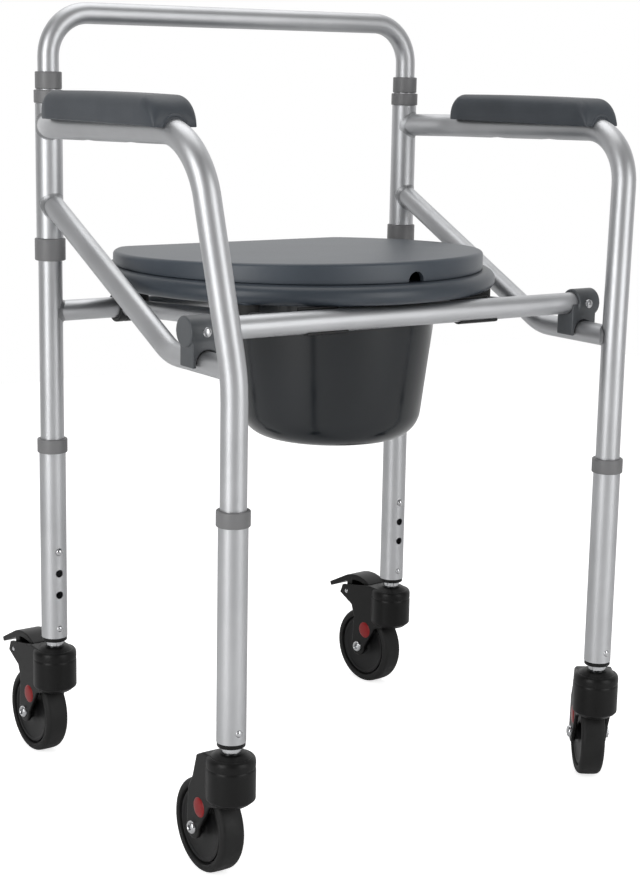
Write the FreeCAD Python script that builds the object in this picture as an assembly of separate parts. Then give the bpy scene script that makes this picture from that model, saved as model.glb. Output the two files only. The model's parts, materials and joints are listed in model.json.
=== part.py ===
import FreeCAD, Part

import math
import os

# Folding commode chair on casters, built as separate pieces with real joints.
# Millimetres, +Z up. The origin is on the floor, midway between the four legs.
# -Y is the open front of the chair and +X is the left-hand side of someone sitting in it.

V = FreeCAD.Vector
X_AXIS = V(1, 0, 0)
Y_AXIS = V(0, 1, 0)
Z_AXIS = V(0, 0, 1)

# Layout of the frame
half_width = 228.0        # centre of the chair to the axis of each leg
half_depth = 185.0        # centre of the chair to the front and rear leg axes
bar_height = 804.0        # axis of the backrest bar
arm_rear_height = 690.0   # axis of the arm tube where it meets the rear post
arm_front_height = 697.0  # axis of the arm tube above the front leg
arm_splay = 26.0          # how far the arm stands outside the leg axes
arm_splay_run = 62.0      # length in Y of the outward step behind the arm pad
arm_front_setback = 23.0  # arm corner behind the front leg axis
knee_height = 480.0       # bend where the front leg becomes vertical
brace_rear_height = 613.0
brace_level = 488.0
brace_knee_y = -73.0
seat_pivot_height = 497.0
front_bar_y = -127.0
front_bar_height = 517.0

# Tube stock
wall = 1.2
frame_radius = 12.5       # 25 mm tube: rear posts, arms and front legs
sleeve_radius = frame_radius + 1.5   # 28 mm tube: pivot sleeves and lower legs
bar_radius = 11.0         # 22 mm tube: backrest, braces and crossbars
slide_gap = 0.3           # clearance of pieces that move past each other
backrest_bend = 45.0
arm_corner_bend = 62.0
arm_splay_bend = 90.0
knee_bend = 260.0
brace_bend = 60.0

# Plastic collars on the posts
pivot_bottom = 574.0      # top face of the lower pivot collar
pivot_top = 712.3         # bottom face of the upper pivot collar
lower_collar_height = 23.0
upper_collar_height = 14.0
backrest_collar_height = 18.0
collar_wall = 2.0
upper_collar_radius = sleeve_radius + 1.2
backrest_collar_radius = frame_radius + 1.3
post_top = 735.0          # upper end of the rear posts, inside the backrest collar
backrest_insertion = 60.0

# Telescopic lower legs
leg_bottom = 141.0
leg_top = 358.0
leg_collar_bottom = 346.0
leg_collar_top = 361.0
inner_tube_end = 226.0    # lower end of the posts and front legs inside the lower legs
hole_pitch = 24.0
hole_radius = 4.2
button_height = 238.0
button_radius = 3.9
button_stand_out = 2.5
button_dome = 1.2         # the dome's radius is this much more than the button's
rivet_height = 152.0
rivet_radius = 3.6
plug_height = 27.0
plug_ring_height = 4.5
plug_ring_radius = sleeve_radius - 0.5

# Caster
wheel_radius = 46.0
tyre_width = 25.5
tyre_depth = 8.5
tyre_shoulder = 5.0
hub_width = 21.0
hub_rim = 4.0
hub_dish = 4.0            # depth of the recess between the rim and the boss
hub_boss_radius = 11.0
hub_spacer_radius = 9.0
trail = 38.0
housing_radius = 23.5
housing_bottom = 80.0
housing_shoulder = 115.0
housing_top = 131.0
stem_radius = 6.0
stem_collar_radius = 9.5
stem_depth = 34.0         # length of the stem inside the housing
fork_half_width = 19.0
wheel_slot_half_width = 14.6
wheel_room = 3.5          # space between the tyre and the housing
axle_radius = 4.0
fork_eye_radius = 11.5
bolt_head_radius = 6.5
bolt_head_height = 4.0
cap_radius = 10.0
cap_back = 26.0           # red cap behind the swivel axis
cap_height = 70.0
cap_stand_out = 1.6
cap_edge_round = 0.8
caster_yaw = {"rl": -2.0, "fl": 0.0, "rr": -6.0, "fr": 34.0}   # degrees from +Y toward +X
pedal_pivot_back = 62.0
pedal_pivot_height = 112.0
pedal_pin_radius = 2.5
pedal_half_width = 13.5
pedal_hub_radius = 7.0
pedal_web = 10.0
pedal_web_height = 14.0

# Seat, lid and bucket
ring_bottom = 529.5
ring_top = 549.5
ring_radius = 207.0
ring_centre_y = 58.0
seat_rear_y = 195.0       # flat rear edge of the seat ring
seat_corner = 25.0
seat_edge_round = 11.0
seat_shell = 4.5
lid_gap = 0.3
lid_front_thickness = 20.7   # the lid is thicker at the front, so its top falls to the rear
lid_rear_thickness = 11.5
lid_radius = 195.0
lid_centre_y = 60.0
lid_round = 4.0
finger_notch_radius = 9.5
finger_notch_depth = 10.0
finger_notch_x = 10.0     # the notch sits a little right of the middle of the front
bucket_centre_y = -5.0
bucket_bottom = 378.0
bucket_base_radius = 91.0
bucket_top_radius = 111.5
bucket_corner = 30.0
bucket_wall = 2.6
bucket_clearance = 1.5
flange_radius = 121.0
flange_thickness = 2.8
flange_recess = 2.4
flange_slack = 0.6
hinge_y = 204.0
hinge_height = 543.0
hinge_pin_radius = 3.0
hinge_barrel_radius = 6.5
hinge_offset = 78.0       # centre of the chair to the middle of each lid hinge
hinge_half_length = 16.0
hinge_ear = 8.0
hinge_room = 1.2          # space round the lid's barrels

# Seat frame under the ring
rail_offset = 143.0
rail_radius = 9.0
clamp_half_length = 9.5
clamp_wall = 4.5
foot_radius = 11.0
foot_rear_y = 150.0
foot_front_y = -70.0
seat_bolt_radius = 3.0
seat_bolt_head = 5.5
bracket_inner = half_width - 8.0   # inner face of the snap bracket
bracket_outer = half_width + 19.0
bracket_wall = 3.5
bracket_slack = 0.08      # clearance round the crossbar end
saddle_clearance = 1.3    # each side of the brace
saddle_drop = 4.0         # how far the saddle walls reach below the brace axis
saddle_half_length = 12.0
bracket_screw_radius = 4.2
seat_clip_offset = 92.0
seat_clip_half_width = 24.0
seat_clip_wall = 2.2
seat_clip_reach = 6.6      # how far the hook wraps forward of the crossbar axis

# Arm pad
pad_rear_y = 107.0
pad_front_y = -124.0
pad_half_width = 25.0
pad_rise = 31.0           # top of the pad above the arm axis
pad_underside = 2.0       # lower edge of the pad above the arm axis
pad_round = 11.0
pad_nose = 24.0

LEGS = {"rl": (-1, 1), "rr": (1, 1), "fl": (-1, -1), "fr": (1, -1)}
SIDES = {"left": -1, "right": 1}


def export(name, solids):
    """Write one node; several solids go into one compound."""
    shape = solids[0] if len(solids) == 1 else Part.makeCompound(solids)
    shape.exportStep("parts/" + name + ".step")


def cylinder(radius, start, direction, length):
    return Part.makeCylinder(radius, length, start, direction)


def box(x0, x1, y0, y1, z0, z1):
    return Part.makeBox(x1 - x0, y1 - y0, z1 - z0, V(x0, y0, z0))


def pipe(outer, inner, z0, z1, x=0.0, y=0.0):
    """Upright round tube."""
    body = cylinder(outer, V(x, y, z0), Z_AXIS, z1 - z0)
    return body.cut(cylinder(inner, V(x, y, z0 - 1), Z_AXIS, z1 - z0 + 2))


def lathe(points, x=0.0, y=0.0):
    """Solid turned about an upright axis from (radius, height) corners."""
    corners = [V(r, 0, z) for r, z in points]
    face = Part.Face(Part.makePolygon(corners + [corners[0]]))
    solid = face.revolve(V(0, 0, 0), Z_AXIS, 360)
    solid.translate(V(x, y, 0))
    return solid


def ring_face(centre, direction, outer, inner):
    """Flat ring, or a disc when inner is zero."""
    rim = Part.Face(Part.Wire(Part.makeCircle(outer, centre, direction)))
    if inner <= 0:
        return rim
    return rim.cut(Part.Face(Part.Wire(Part.makeCircle(inner, centre, direction))))


def bent_rod(points, bends, outer, inner):
    """Round tube along straight runs joined by tangent bends; bends[i] is the radius at points[i+1]."""
    starts = [points[0]]
    pieces = []
    for before, corner, after, radius in zip(points, points[1:], points[2:], bends):
        a = (corner - before).normalize()
        b = (after - corner).normalize()
        turn = a.getAngle(b)
        reach = radius * math.tan(turn / 2)
        first = corner - a * reach
        normal = a.cross(b).normalize()
        centre = first + normal.cross(a).normalize() * radius
        pieces.append(ring_face(starts[-1], a, outer, inner).extrude(first - starts[-1]))
        pieces.append(ring_face(first, a, outer, inner).revolve(centre, normal, math.degrees(turn)))
        starts.append(corner + b * reach)
    last = (points[-1] - starts[-1])
    pieces.append(ring_face(starts[-1], last.normalize(), outer, inner).extrude(points[-1] - starts[-1]))
    solids = [piece.Solids[0] for piece in pieces]
    return solids[0].fuse(solids[1:]).removeSplitter().Solids[0]


def turned(shape, degrees, centre, axis=Z_AXIS):
    copy = shape.copy()
    copy.rotate(centre, axis, degrees)
    return copy


def moved(shape, x=0.0, y=0.0, z=0.0):
    copy = shape.copy()
    copy.translate(V(x, y, z))
    return copy


def mirrored(shape):
    """Left-hand piece from the right-hand one."""
    return shape.mirror(V(0, 0, 0), X_AXIS)


def sided(shape, side):
    return shape if side > 0 else mirrored(shape)


# --- Rear frame: posts, crossbar and backrest, which carry everything else

def rear_posts():
    posts = []
    for side in (-1, 1):
        x = side * half_width
        post = pipe(frame_radius, frame_radius - wall, inner_tube_end, post_top, x, half_depth)
        posts.append(post.cut(button_hole(side, 1)))
    return posts


def rear_crossbar():
    ends = [V(-half_width, half_depth, seat_pivot_height), V(half_width, half_depth, seat_pivot_height)]
    bar = bent_rod(ends, [], bar_radius, bar_radius - wall)
    for side in (-1, 1):
        post = cylinder(frame_radius, V(side * half_width, half_depth, 0), Z_AXIS, post_top)
        bar = bar.cut(post)
    middle = [solid for solid in bar.Solids if abs(solid.CenterOfMass.x) < half_width / 2]
    return middle


def backrest_tube():
    low = post_top - backrest_insertion
    points = [V(-half_width, half_depth, low), V(-half_width, half_depth, bar_height),
              V(half_width, half_depth, bar_height), V(half_width, half_depth, low)]
    return [bent_rod(points, [backrest_bend, backrest_bend], bar_radius, bar_radius - wall)]


def stepped_collar(outer, lower_bore, upper_bore, bottom, step, top, x, y):
    body = lathe([(0, bottom), (outer - 0.8, bottom), (outer, bottom + 0.8), (outer, top - 0.8),
                  (outer - 0.8, top), (0, top)], x, y)
    body = body.cut(cylinder(lower_bore, V(x, y, bottom - 1), Z_AXIS, step - bottom + 1))
    return body.cut(cylinder(upper_bore, V(x, y, bottom), Z_AXIS, top - bottom + 1))


def backrest_collars():
    bottom = pivot_top + upper_collar_height
    top = bottom + backrest_collar_height
    return [stepped_collar(backrest_collar_radius, frame_radius, bar_radius, bottom, post_top, top,
                           side * half_width, half_depth) for side in (-1, 1)]


def pivot_collars():
    collars = []
    lower_bottom = pivot_bottom - lower_collar_height
    lower_outer = sleeve_radius + collar_wall
    for side in (-1, 1):
        x = side * half_width
        collars.append(stepped_collar(lower_outer, frame_radius, frame_radius, lower_bottom, pivot_bottom,
                                      pivot_bottom, x, half_depth))
        collars.append(stepped_collar(upper_collar_radius, frame_radius, frame_radius, pivot_top, pivot_top,
                                      pivot_top + upper_collar_height, x, half_depth))
    return collars


# --- Side frames: sleeve, arm with front leg, brace and pad, made for the right-hand side

arm_x = half_width + arm_splay
arm_points = [V(half_width, half_depth, arm_rear_height),
              V(arm_x, half_depth - arm_splay_run, arm_rear_height + 1.2),
              V(arm_x, -half_depth + arm_front_setback, arm_front_height),
              V(half_width, -half_depth, knee_height),
              V(half_width, -half_depth, inner_tube_end)]
arm_bends = [arm_splay_bend, arm_corner_bend, knee_bend]


def side_post():
    return pipe(sleeve_radius, frame_radius + slide_gap, pivot_bottom + slide_gap, pivot_top - slide_gap,
                half_width, half_depth)


def sleeve_room():
    """Space taken by the pivot sleeve, which tube ends are coped against."""
    return cylinder(sleeve_radius, V(half_width, half_depth, pivot_bottom), Z_AXIS, pivot_top - pivot_bottom)


def arm_tube():
    tube = bent_rod(arm_points, arm_bends, frame_radius, frame_radius - wall)
    tube = tube.cut(sleeve_room())
    tube = max(tube.Solids, key=lambda solid: solid.Volume)
    return tube.cut(button_hole(1, -1))


def brace_tube():
    points = [V(half_width, half_depth, brace_rear_height), V(half_width, brace_knee_y, brace_level),
              V(half_width, -half_depth, brace_level)]
    tube = bent_rod(points, [brace_bend], bar_radius, bar_radius - wall)
    leg = bent_rod(arm_points, arm_bends, frame_radius, 0)
    tube = tube.cut(sleeve_room()).cut(leg)
    return max(tube.Solids, key=lambda solid: solid.Volume)


def arm_pad():
    """Crowned pad lying over the arm tube, which leaves it through an arch in its front face."""
    top = arm_front_height + pad_rise
    low = arm_front_height + pad_underside
    x0 = arm_x - pad_half_width
    x1 = arm_x + pad_half_width
    body = box(x0, x1, pad_front_y, pad_rear_y, low, top)
    ends = [edge for edge in body.Edges if abs(edge.CenterOfMass.z - top) < 0.01
            and abs(edge.CenterOfMass.x - arm_x) < 0.01]
    body = body.makeFillet(pad_nose, ends)
    crown = [edge for edge in body.Edges if abs(edge.BoundBox.XLength) < 0.01
             and edge.CenterOfMass.z > low + 1 and edge.BoundBox.YLength > 1]
    body = body.makeFillet(pad_round, crown)
    groove = bent_rod(arm_points[:4], arm_bends[:2], frame_radius, 0)
    body = body.cut(groove)
    return max(body.Solids, key=lambda solid: solid.Volume)


# --- Telescopic lower legs with their spring buttons

def button_direction(y_side):
    """Rear legs show their buttons to the front, front legs to the rear."""
    return V(0, -y_side, 0)


def button_hole(x_side, y_side):
    start = V(x_side * half_width, y_side * half_depth, button_height)
    return cylinder(hole_radius, start, button_direction(y_side), sleeve_radius + 5)


def lower_leg(x_side, y_side):
    x = x_side * half_width
    y = y_side * half_depth
    leg = pipe(sleeve_radius, frame_radius + slide_gap, leg_bottom, leg_top, x, y)
    for step in range(3):
        hole = button_hole(x_side, y_side)
        hole.translate(V(0, 0, -step * hole_pitch))
        leg = leg.cut(hole)
    return leg


def leg_fittings(x_side, y_side):
    """Top collar, bottom plug with its ring, and the rivet that holds the plug."""
    x = x_side * half_width
    y = y_side * half_depth
    collar = stepped_collar(sleeve_radius + collar_wall, sleeve_radius, frame_radius + slide_gap,
                            leg_collar_bottom, leg_top, leg_collar_top, x, y)
    ring_bottom_z = leg_bottom - plug_ring_height
    plug = cylinder(frame_radius + slide_gap, V(x, y, leg_bottom), Z_AXIS, plug_height)
    plug = plug.fuse(cylinder(plug_ring_radius, V(x, y, ring_bottom_z), Z_AXIS, plug_ring_height))
    plug = plug.cut(cylinder(stem_radius, V(x, y, ring_bottom_z - 1), Z_AXIS, plug_height + 10))
    direction = V(0, -1, 0)
    rivet = cylinder(rivet_radius, V(x, y - sleeve_radius + 0.6, rivet_height), direction, 1.8)
    leg_skin = cylinder(sleeve_radius, V(x, y, leg_bottom), Z_AXIS, plug_height)
    return [collar, plug.removeSplitter().Solids[0], rivet.cut(leg_skin)]


def snap_button(x_side, y_side):
    """Domed button standing out of the leg, ending just short of the inner tube."""
    direction = button_direction(y_side)
    surface = V(x_side * half_width, y_side * half_depth, button_height) + direction * sleeve_radius
    inside = wall + 0.1
    dome_radius = button_radius + button_dome
    length = inside + button_stand_out - button_dome
    stem = cylinder(button_radius, surface - direction * inside, direction, length)
    dome = Part.makeSphere(dome_radius, surface + direction * (button_stand_out - dome_radius))
    tip = cylinder(button_radius, surface, direction, button_stand_out + 1)
    return stem.fuse(dome.common(tip)).removeSplitter().Solids[0]


# --- Casters, each made at the origin with the swivel on Z and the wheel toward +Y

def housing_profile(braked):
    """Side view of the fork in Y and Z, swept across the width."""
    axle = (trail, wheel_radius)
    if braked:
        rear = [(52, 97), (74, 108), (70, 119), (20, 128)]
    else:
        rear = [(39, 98), (32, 121), (20, 127)]
    outline = [(-6, housing_bottom), (8, 76), (axle[0] - fork_eye_radius, axle[1] + 2),
               (axle[0] + fork_eye_radius, axle[1] + 2), (47, 84)]
    outline = outline + rear + [(-6, 127)]
    corners = [V(0, y, z) for y, z in outline]
    face = Part.Face(Part.makePolygon(corners + [corners[0]]))
    return face


def caster_housing(braked):
    plate = housing_profile(braked).extrude(V(2 * fork_half_width, 0, 0))
    plate.translate(V(-fork_half_width, 0, 0))
    eye = cylinder(fork_eye_radius, V(-fork_half_width, trail, wheel_radius), X_AXIS, 2 * fork_half_width)
    r = housing_radius
    groove = housing_radius - 0.8
    barrel = lathe([(0, housing_bottom), (r - 6, housing_bottom), (r, housing_bottom + 5),
                    (r, housing_shoulder), (groove, housing_shoulder + 0.5), (groove, housing_shoulder + 2),
                    (r, housing_shoulder + 2.5), (groove, housing_shoulder + 6), (r - 4, housing_top - 4.5),
                    (r - 9, housing_top - 1), (r - 12, housing_top), (0, housing_top)])
    body = plate.fuse([eye, barrel])
    reach = wheel_radius + wheel_room
    slot_side = wheel_slot_half_width
    slot = cylinder(reach, V(-slot_side, trail, wheel_radius), X_AXIS, 2 * slot_side)
    slot = slot.fuse(box(-slot_side, slot_side, trail, trail + reach, 0, 2 * wheel_radius))
    body = body.cut(slot)
    if braked:
        room = box(-pedal_half_width - 0.6, pedal_half_width + 0.6, 24, 100, 100, 140)
        body = body.cut(room)
        body = body.cut(cylinder(pedal_pin_radius + slide_gap, V(-40, pedal_pivot_back, pedal_pivot_height),
                                 X_AXIS, 80))
    bore_end = housing_top - stem_depth - slide_gap
    bore = cylinder(stem_radius + slide_gap, V(0, 0, bore_end), Z_AXIS, stem_depth + 5)
    axle_bore = cylinder(axle_radius, V(-40, trail, wheel_radius), X_AXIS, 80)
    body = body.cut(bore).cut(axle_bore)
    return max(body.removeSplitter().Solids, key=lambda solid: solid.Volume)


def axle_bolt():
    shaft = cylinder(axle_radius, V(-fork_half_width, trail, wheel_radius), X_AXIS, 2 * fork_half_width)
    head = cylinder(bolt_head_radius, V(-fork_half_width - bolt_head_height, trail, wheel_radius), X_AXIS,
                    bolt_head_height)
    turns = [math.radians(60 * corner) for corner in range(6)]
    nut_corners = [V(fork_half_width, trail + bolt_head_radius * math.cos(turn),
                     wheel_radius + bolt_head_radius * math.sin(turn)) for turn in turns]
    nut = Part.Face(Part.makePolygon(nut_corners + [nut_corners[0]])).extrude(V(bolt_head_height, 0, 0))
    return shaft.fuse([head, nut]).removeSplitter().Solids[0]


def red_caps():
    caps = []
    for side in (-1, 1):
        start = V(side * fork_half_width, cap_back, cap_height)
        disc = cylinder(cap_radius, start, X_AXIS * side, cap_stand_out)
        face_x = side * (fork_half_width + cap_stand_out)
        rim = [edge for edge in disc.Edges if abs(edge.CenterOfMass.x - face_x) < 0.01]
        caps.append(disc.makeFillet(cap_edge_round, rim))
    return caps


def wheel_hub():
    half = hub_width / 2
    outer = wheel_radius - tyre_depth
    spacer = wheel_slot_half_width - half - slide_gap
    hub = cylinder(outer, V(-half, trail, wheel_radius), X_AXIS, hub_width)
    for side in (-1, 1):
        centre = V(side * half, trail, wheel_radius)
        dish = cylinder(outer - hub_rim, centre, X_AXIS * -side, hub_dish)
        boss = cylinder(hub_boss_radius, centre, X_AXIS * -side, hub_dish)
        hub = hub.cut(dish.cut(boss))
        hub = hub.fuse(cylinder(hub_spacer_radius, centre, X_AXIS * side, spacer))
    bore = cylinder(axle_radius + slide_gap, V(-40, trail, wheel_radius), X_AXIS, 80)
    return hub.cut(bore).removeSplitter().Solids[0]


def wheel_tyre():
    half = tyre_width / 2
    tyre = cylinder(wheel_radius, V(-half, trail, wheel_radius), X_AXIS, tyre_width)
    shoulders = [edge for edge in tyre.Edges if len(edge.Vertexes) == 1 and edge.Length > 100]
    tyre = tyre.makeFillet(tyre_shoulder, shoulders)
    bore = cylinder(wheel_radius - tyre_depth, V(-40, trail, wheel_radius), X_AXIS, 80)
    return tyre.cut(bore).Solids[0]


def brake_pedal():
    """Arched foot lever turning on a pin across the rear of the fork."""
    top = [V(0, 25, 127), V(0, 46, 134), V(0, 70, 130), V(0, 100, 115)]
    under = [V(0, 98, 110), V(0, 68, 123), V(0, 46, 127), V(0, 25, 121)]
    upper_arc = Part.Arc(top[0], top[1], top[2]).toShape()
    tip_edge = Part.LineSegment(top[2], top[3]).toShape()
    nose = Part.LineSegment(top[3], under[0]).toShape()
    back = Part.LineSegment(under[0], under[1]).toShape()
    lower_arc = Part.Arc(under[1], under[2], under[3]).toShape()
    close = Part.LineSegment(under[3], top[0]).toShape()
    face = Part.Face(Part.Wire([upper_arc, tip_edge, nose, back, lower_arc, close]))
    plate = face.extrude(V(2 * pedal_half_width, 0, 0))
    plate.translate(V(-pedal_half_width, 0, 0))
    hub = cylinder(pedal_hub_radius, V(-pedal_half_width, pedal_pivot_back, pedal_pivot_height), X_AXIS,
                   2 * pedal_half_width)
    web = box(-pedal_half_width, pedal_half_width, pedal_pivot_back - pedal_web / 2,
              pedal_pivot_back + pedal_web / 2, pedal_pivot_height, pedal_pivot_height + pedal_web_height)
    pin = cylinder(pedal_pin_radius, V(-fork_half_width, pedal_pivot_back, pedal_pivot_height), X_AXIS,
                   2 * fork_half_width)
    return plate.fuse([hub, web, pin]).removeSplitter().Solids[0]


def caster_stem():
    """Steel stem pressed into the leg plug; its lower end turns in the housing."""
    top = leg_bottom + plug_height
    low = housing_top - stem_depth + slide_gap
    stem = cylinder(stem_radius, V(0, 0, low), Z_AXIS, top - low)
    collar_bottom = housing_top + slide_gap
    collar = cylinder(stem_collar_radius, V(0, 0, collar_bottom), Z_AXIS,
                      leg_bottom - plug_ring_height - collar_bottom)
    return stem.fuse(collar).removeSplitter().Solids[0]


def placed(shape, leg):
    """Set a caster piece under its leg, turned to its resting yaw."""
    x_side, y_side = LEGS[leg]
    return moved(turned(shape, -caster_yaw[leg], V(0, 0, 0)), x_side * half_width, y_side * half_depth)


# --- Seat frame, ring, lid and bucket

def front_crossbar():
    end = bracket_outer - bracket_wall
    return [bent_rod([V(-end, front_bar_y, front_bar_height), V(end, front_bar_y, front_bar_height)], [],
                     bar_radius, bar_radius - wall)]


def snap_bracket():
    """Right-hand socket over the crossbar end, with an open-bottomed saddle over the brace."""
    socket_radius = bar_radius + bracket_wall
    length = bracket_outer - bracket_inner
    socket = cylinder(socket_radius, V(bracket_inner, front_bar_y, front_bar_height), X_AXIS, length)
    saddle_radius = bar_radius + saddle_clearance
    x0 = half_width - saddle_radius - bracket_wall
    x1 = half_width + saddle_radius + bracket_wall
    y0 = front_bar_y - saddle_half_length
    y1 = front_bar_y + saddle_half_length
    block = box(x0, x1, y0, y1, brace_level - saddle_drop, front_bar_height)
    body = socket.fuse(block)
    bore_end = bracket_outer - bracket_wall
    bore = cylinder(bar_radius + bracket_slack, V(x0 - 1, front_bar_y, front_bar_height), X_AXIS,
                    bore_end - x0 + 1)
    body = body.cut(bore)
    channel = cylinder(saddle_radius, V(half_width, y0 - 20, brace_level), Y_AXIS, y1 - y0 + 40)
    channel = channel.fuse(box(half_width - saddle_radius, half_width + saddle_radius, y0 - 20, y1 + 20,
                               brace_level - saddle_drop - 5, brace_level))
    body = body.cut(channel)
    return max(body.removeSplitter().Solids, key=lambda solid: solid.Volume)


def rail_ends(side):
    """Axis of a seat rail, from the front crossbar back to the pivot clamp."""
    front = V(side * rail_offset, front_bar_y, front_bar_height)
    rear = V(side * rail_offset, half_depth, seat_pivot_height)
    return front, rear


def seat_rails():
    rails = []
    crossbar = cylinder(bar_radius, V(-half_width, front_bar_y, front_bar_height), X_AXIS, 2 * half_width)
    pivot_start = V(-half_width, half_depth, seat_pivot_height)
    clamp = cylinder(bar_radius + slide_gap + clamp_wall, pivot_start, X_AXIS, 2 * half_width)
    for side in (-1, 1):
        front, rear = rail_ends(side)
        rail = bent_rod([front, rear], [], rail_radius, rail_radius - wall)
        rail = rail.cut(crossbar).cut(clamp)
        for y in (foot_front_y, foot_rear_y):
            rail = rail.cut(cylinder(seat_bolt_radius, V(side * rail_offset, y, 0), Z_AXIS, ring_top))
        rails.append(max(rail.Solids, key=lambda solid: solid.Volume))
    return rails


def front_clip(side):
    """Tongue from the ring's underside, hooked round the back and underside of the front crossbar."""
    start = V(side * seat_clip_offset - seat_clip_half_width, front_bar_y, front_bar_height)
    width = 2 * seat_clip_half_width
    hook = cylinder(bar_radius + seat_clip_wall, start, X_AXIS, width)
    hook = hook.cut(box(start.x - 1, start.x + width + 1, front_bar_y - 40, front_bar_y + 40,
                        front_bar_height, front_bar_height + 40))
    hook = hook.cut(box(start.x - 1, start.x + width + 1, front_bar_y - 40, front_bar_y - seat_clip_reach,
                        front_bar_height - 40, front_bar_height + 1))
    back = box(start.x, start.x + width, front_bar_y + bar_radius, front_bar_y + bar_radius + seat_clip_wall,
               front_bar_height, ring_bottom)
    clip = hook.fuse(back).cut(cylinder(bar_radius, start - X_AXIS, X_AXIS, width + 2))
    return max(clip.removeSplitter().Solids, key=lambda solid: solid.Volume)


def seat_clamps():
    """Clips on the front crossbar, and clamps turning on the rear one with a boss for each rail."""
    clamps = [front_clip(-1), front_clip(1)]
    bore = bar_radius + slide_gap
    outer = bore + clamp_wall
    for side in (-1, 1):
        x = side * rail_offset
        start = V(x - clamp_half_length, half_depth, seat_pivot_height)
        body = cylinder(outer, start, X_AXIS, 2 * clamp_half_length)
        groove = cylinder(outer + 1, V(x - 0.8, half_depth, seat_pivot_height), X_AXIS, 1.6)
        groove = groove.cut(cylinder(outer - 1, V(x - 1, half_depth, seat_pivot_height), X_AXIS, 2))
        lug = box(x - clamp_half_length, x + clamp_half_length, half_depth - 8, half_depth + 6,
                  seat_pivot_height, ring_bottom - 3)
        body = body.cut(groove).fuse(lug)
        body = body.cut(cylinder(bore, V(x - 30, half_depth, seat_pivot_height), X_AXIS, 60))
        clamps.append(max(body.removeSplitter().Solids, key=lambda solid: solid.Volume))
    return clamps


def rail_height(y):
    """Axis height of a rail at a place along the seat."""
    slope = (seat_pivot_height - front_bar_height) / (half_depth - front_bar_y)
    return front_bar_height + slope * (y - front_bar_y)


def seat_feet():
    """Rubber feet between the rails and the ring, one at each bolt."""
    feet = []
    for side in (-1, 1):
        for y in (foot_front_y, foot_rear_y):
            x = side * rail_offset
            foot = cylinder(foot_radius, V(x, y, rail_height(y)), Z_AXIS, ring_bottom - rail_height(y))
            front, rear = rail_ends(side)
            foot = foot.cut(bent_rod([front, rear], [], rail_radius, 0))
            foot = foot.cut(cylinder(seat_bolt_radius, V(x, y, 0), Z_AXIS, ring_top))
            foot = max(foot.Solids, key=lambda solid: solid.CenterOfMass.z)
            feet.append(foot)
    return feet


def seat_hardware():
    """Bolts through the rails into the ring, screws in the brackets and the lid's hinge pins."""
    pieces = []
    for side in (-1, 1):
        for y in (foot_front_y, foot_rear_y):
            x = side * rail_offset
            low = rail_height(y) - rail_radius - 1
            rail = bent_rod(list(rail_ends(side)), [], rail_radius, 0)
            bolt = cylinder(seat_bolt_radius, V(x, y, low), Z_AXIS, ring_bottom + 8 - low)
            head = cylinder(seat_bolt_head, V(x, y, low - 4), Z_AXIS, 6).cut(rail)
            pieces.append(bolt.fuse(head).removeSplitter().Solids[0])
        screw_x = side * (bracket_inner + 11)
        face_y = front_bar_y - bar_radius - bracket_wall
        screw = cylinder(bracket_screw_radius, V(screw_x, face_y - 1.8, front_bar_height), Y_AXIS, 4)
        socket = cylinder(bar_radius + bracket_wall, V(-300, front_bar_y, front_bar_height), X_AXIS, 600)
        pieces.append(screw.cut(socket))
        reach = hinge_half_length + hinge_ear
        start = V(side * hinge_offset - reach, hinge_y, hinge_height)
        pieces.append(cylinder(hinge_pin_radius, start, X_AXIS, 2 * reach))
    return pieces


def seat_outline(radius, centre_y, rear_y, height, inset=0.0):
    """Round front with a flat rear edge and rounded rear corners, as a face."""
    disc = Part.Face(Part.Wire(Part.makeCircle(radius - inset, V(0, centre_y, height))))
    keep = Part.makePlane(2 * radius + 10, rear_y - inset - centre_y + radius + 10,
                          V(-radius - 5, centre_y - radius - 10, height))
    return disc.common(keep).Faces[0]


def seat_blank(radius, centre_y, rear_y, low, high, inset=0.0):
    solid = seat_outline(radius, centre_y, rear_y, low, inset).extrude(V(0, 0, high - low))
    corners = [edge for edge in solid.Edges if edge.BoundBox.ZLength > (high - low) * 0.9
               and edge.CenterOfMass.y > rear_y - inset - 2]
    return solid.makeFillet(seat_corner, corners)


def top_edges(solid, height, least):
    """Outer rim edges at one height."""
    return [edge for edge in solid.Edges if abs(edge.BoundBox.ZMin - height) < 0.01
            and abs(edge.BoundBox.ZMax - height) < 0.01 and edge.Length > least]


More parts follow.
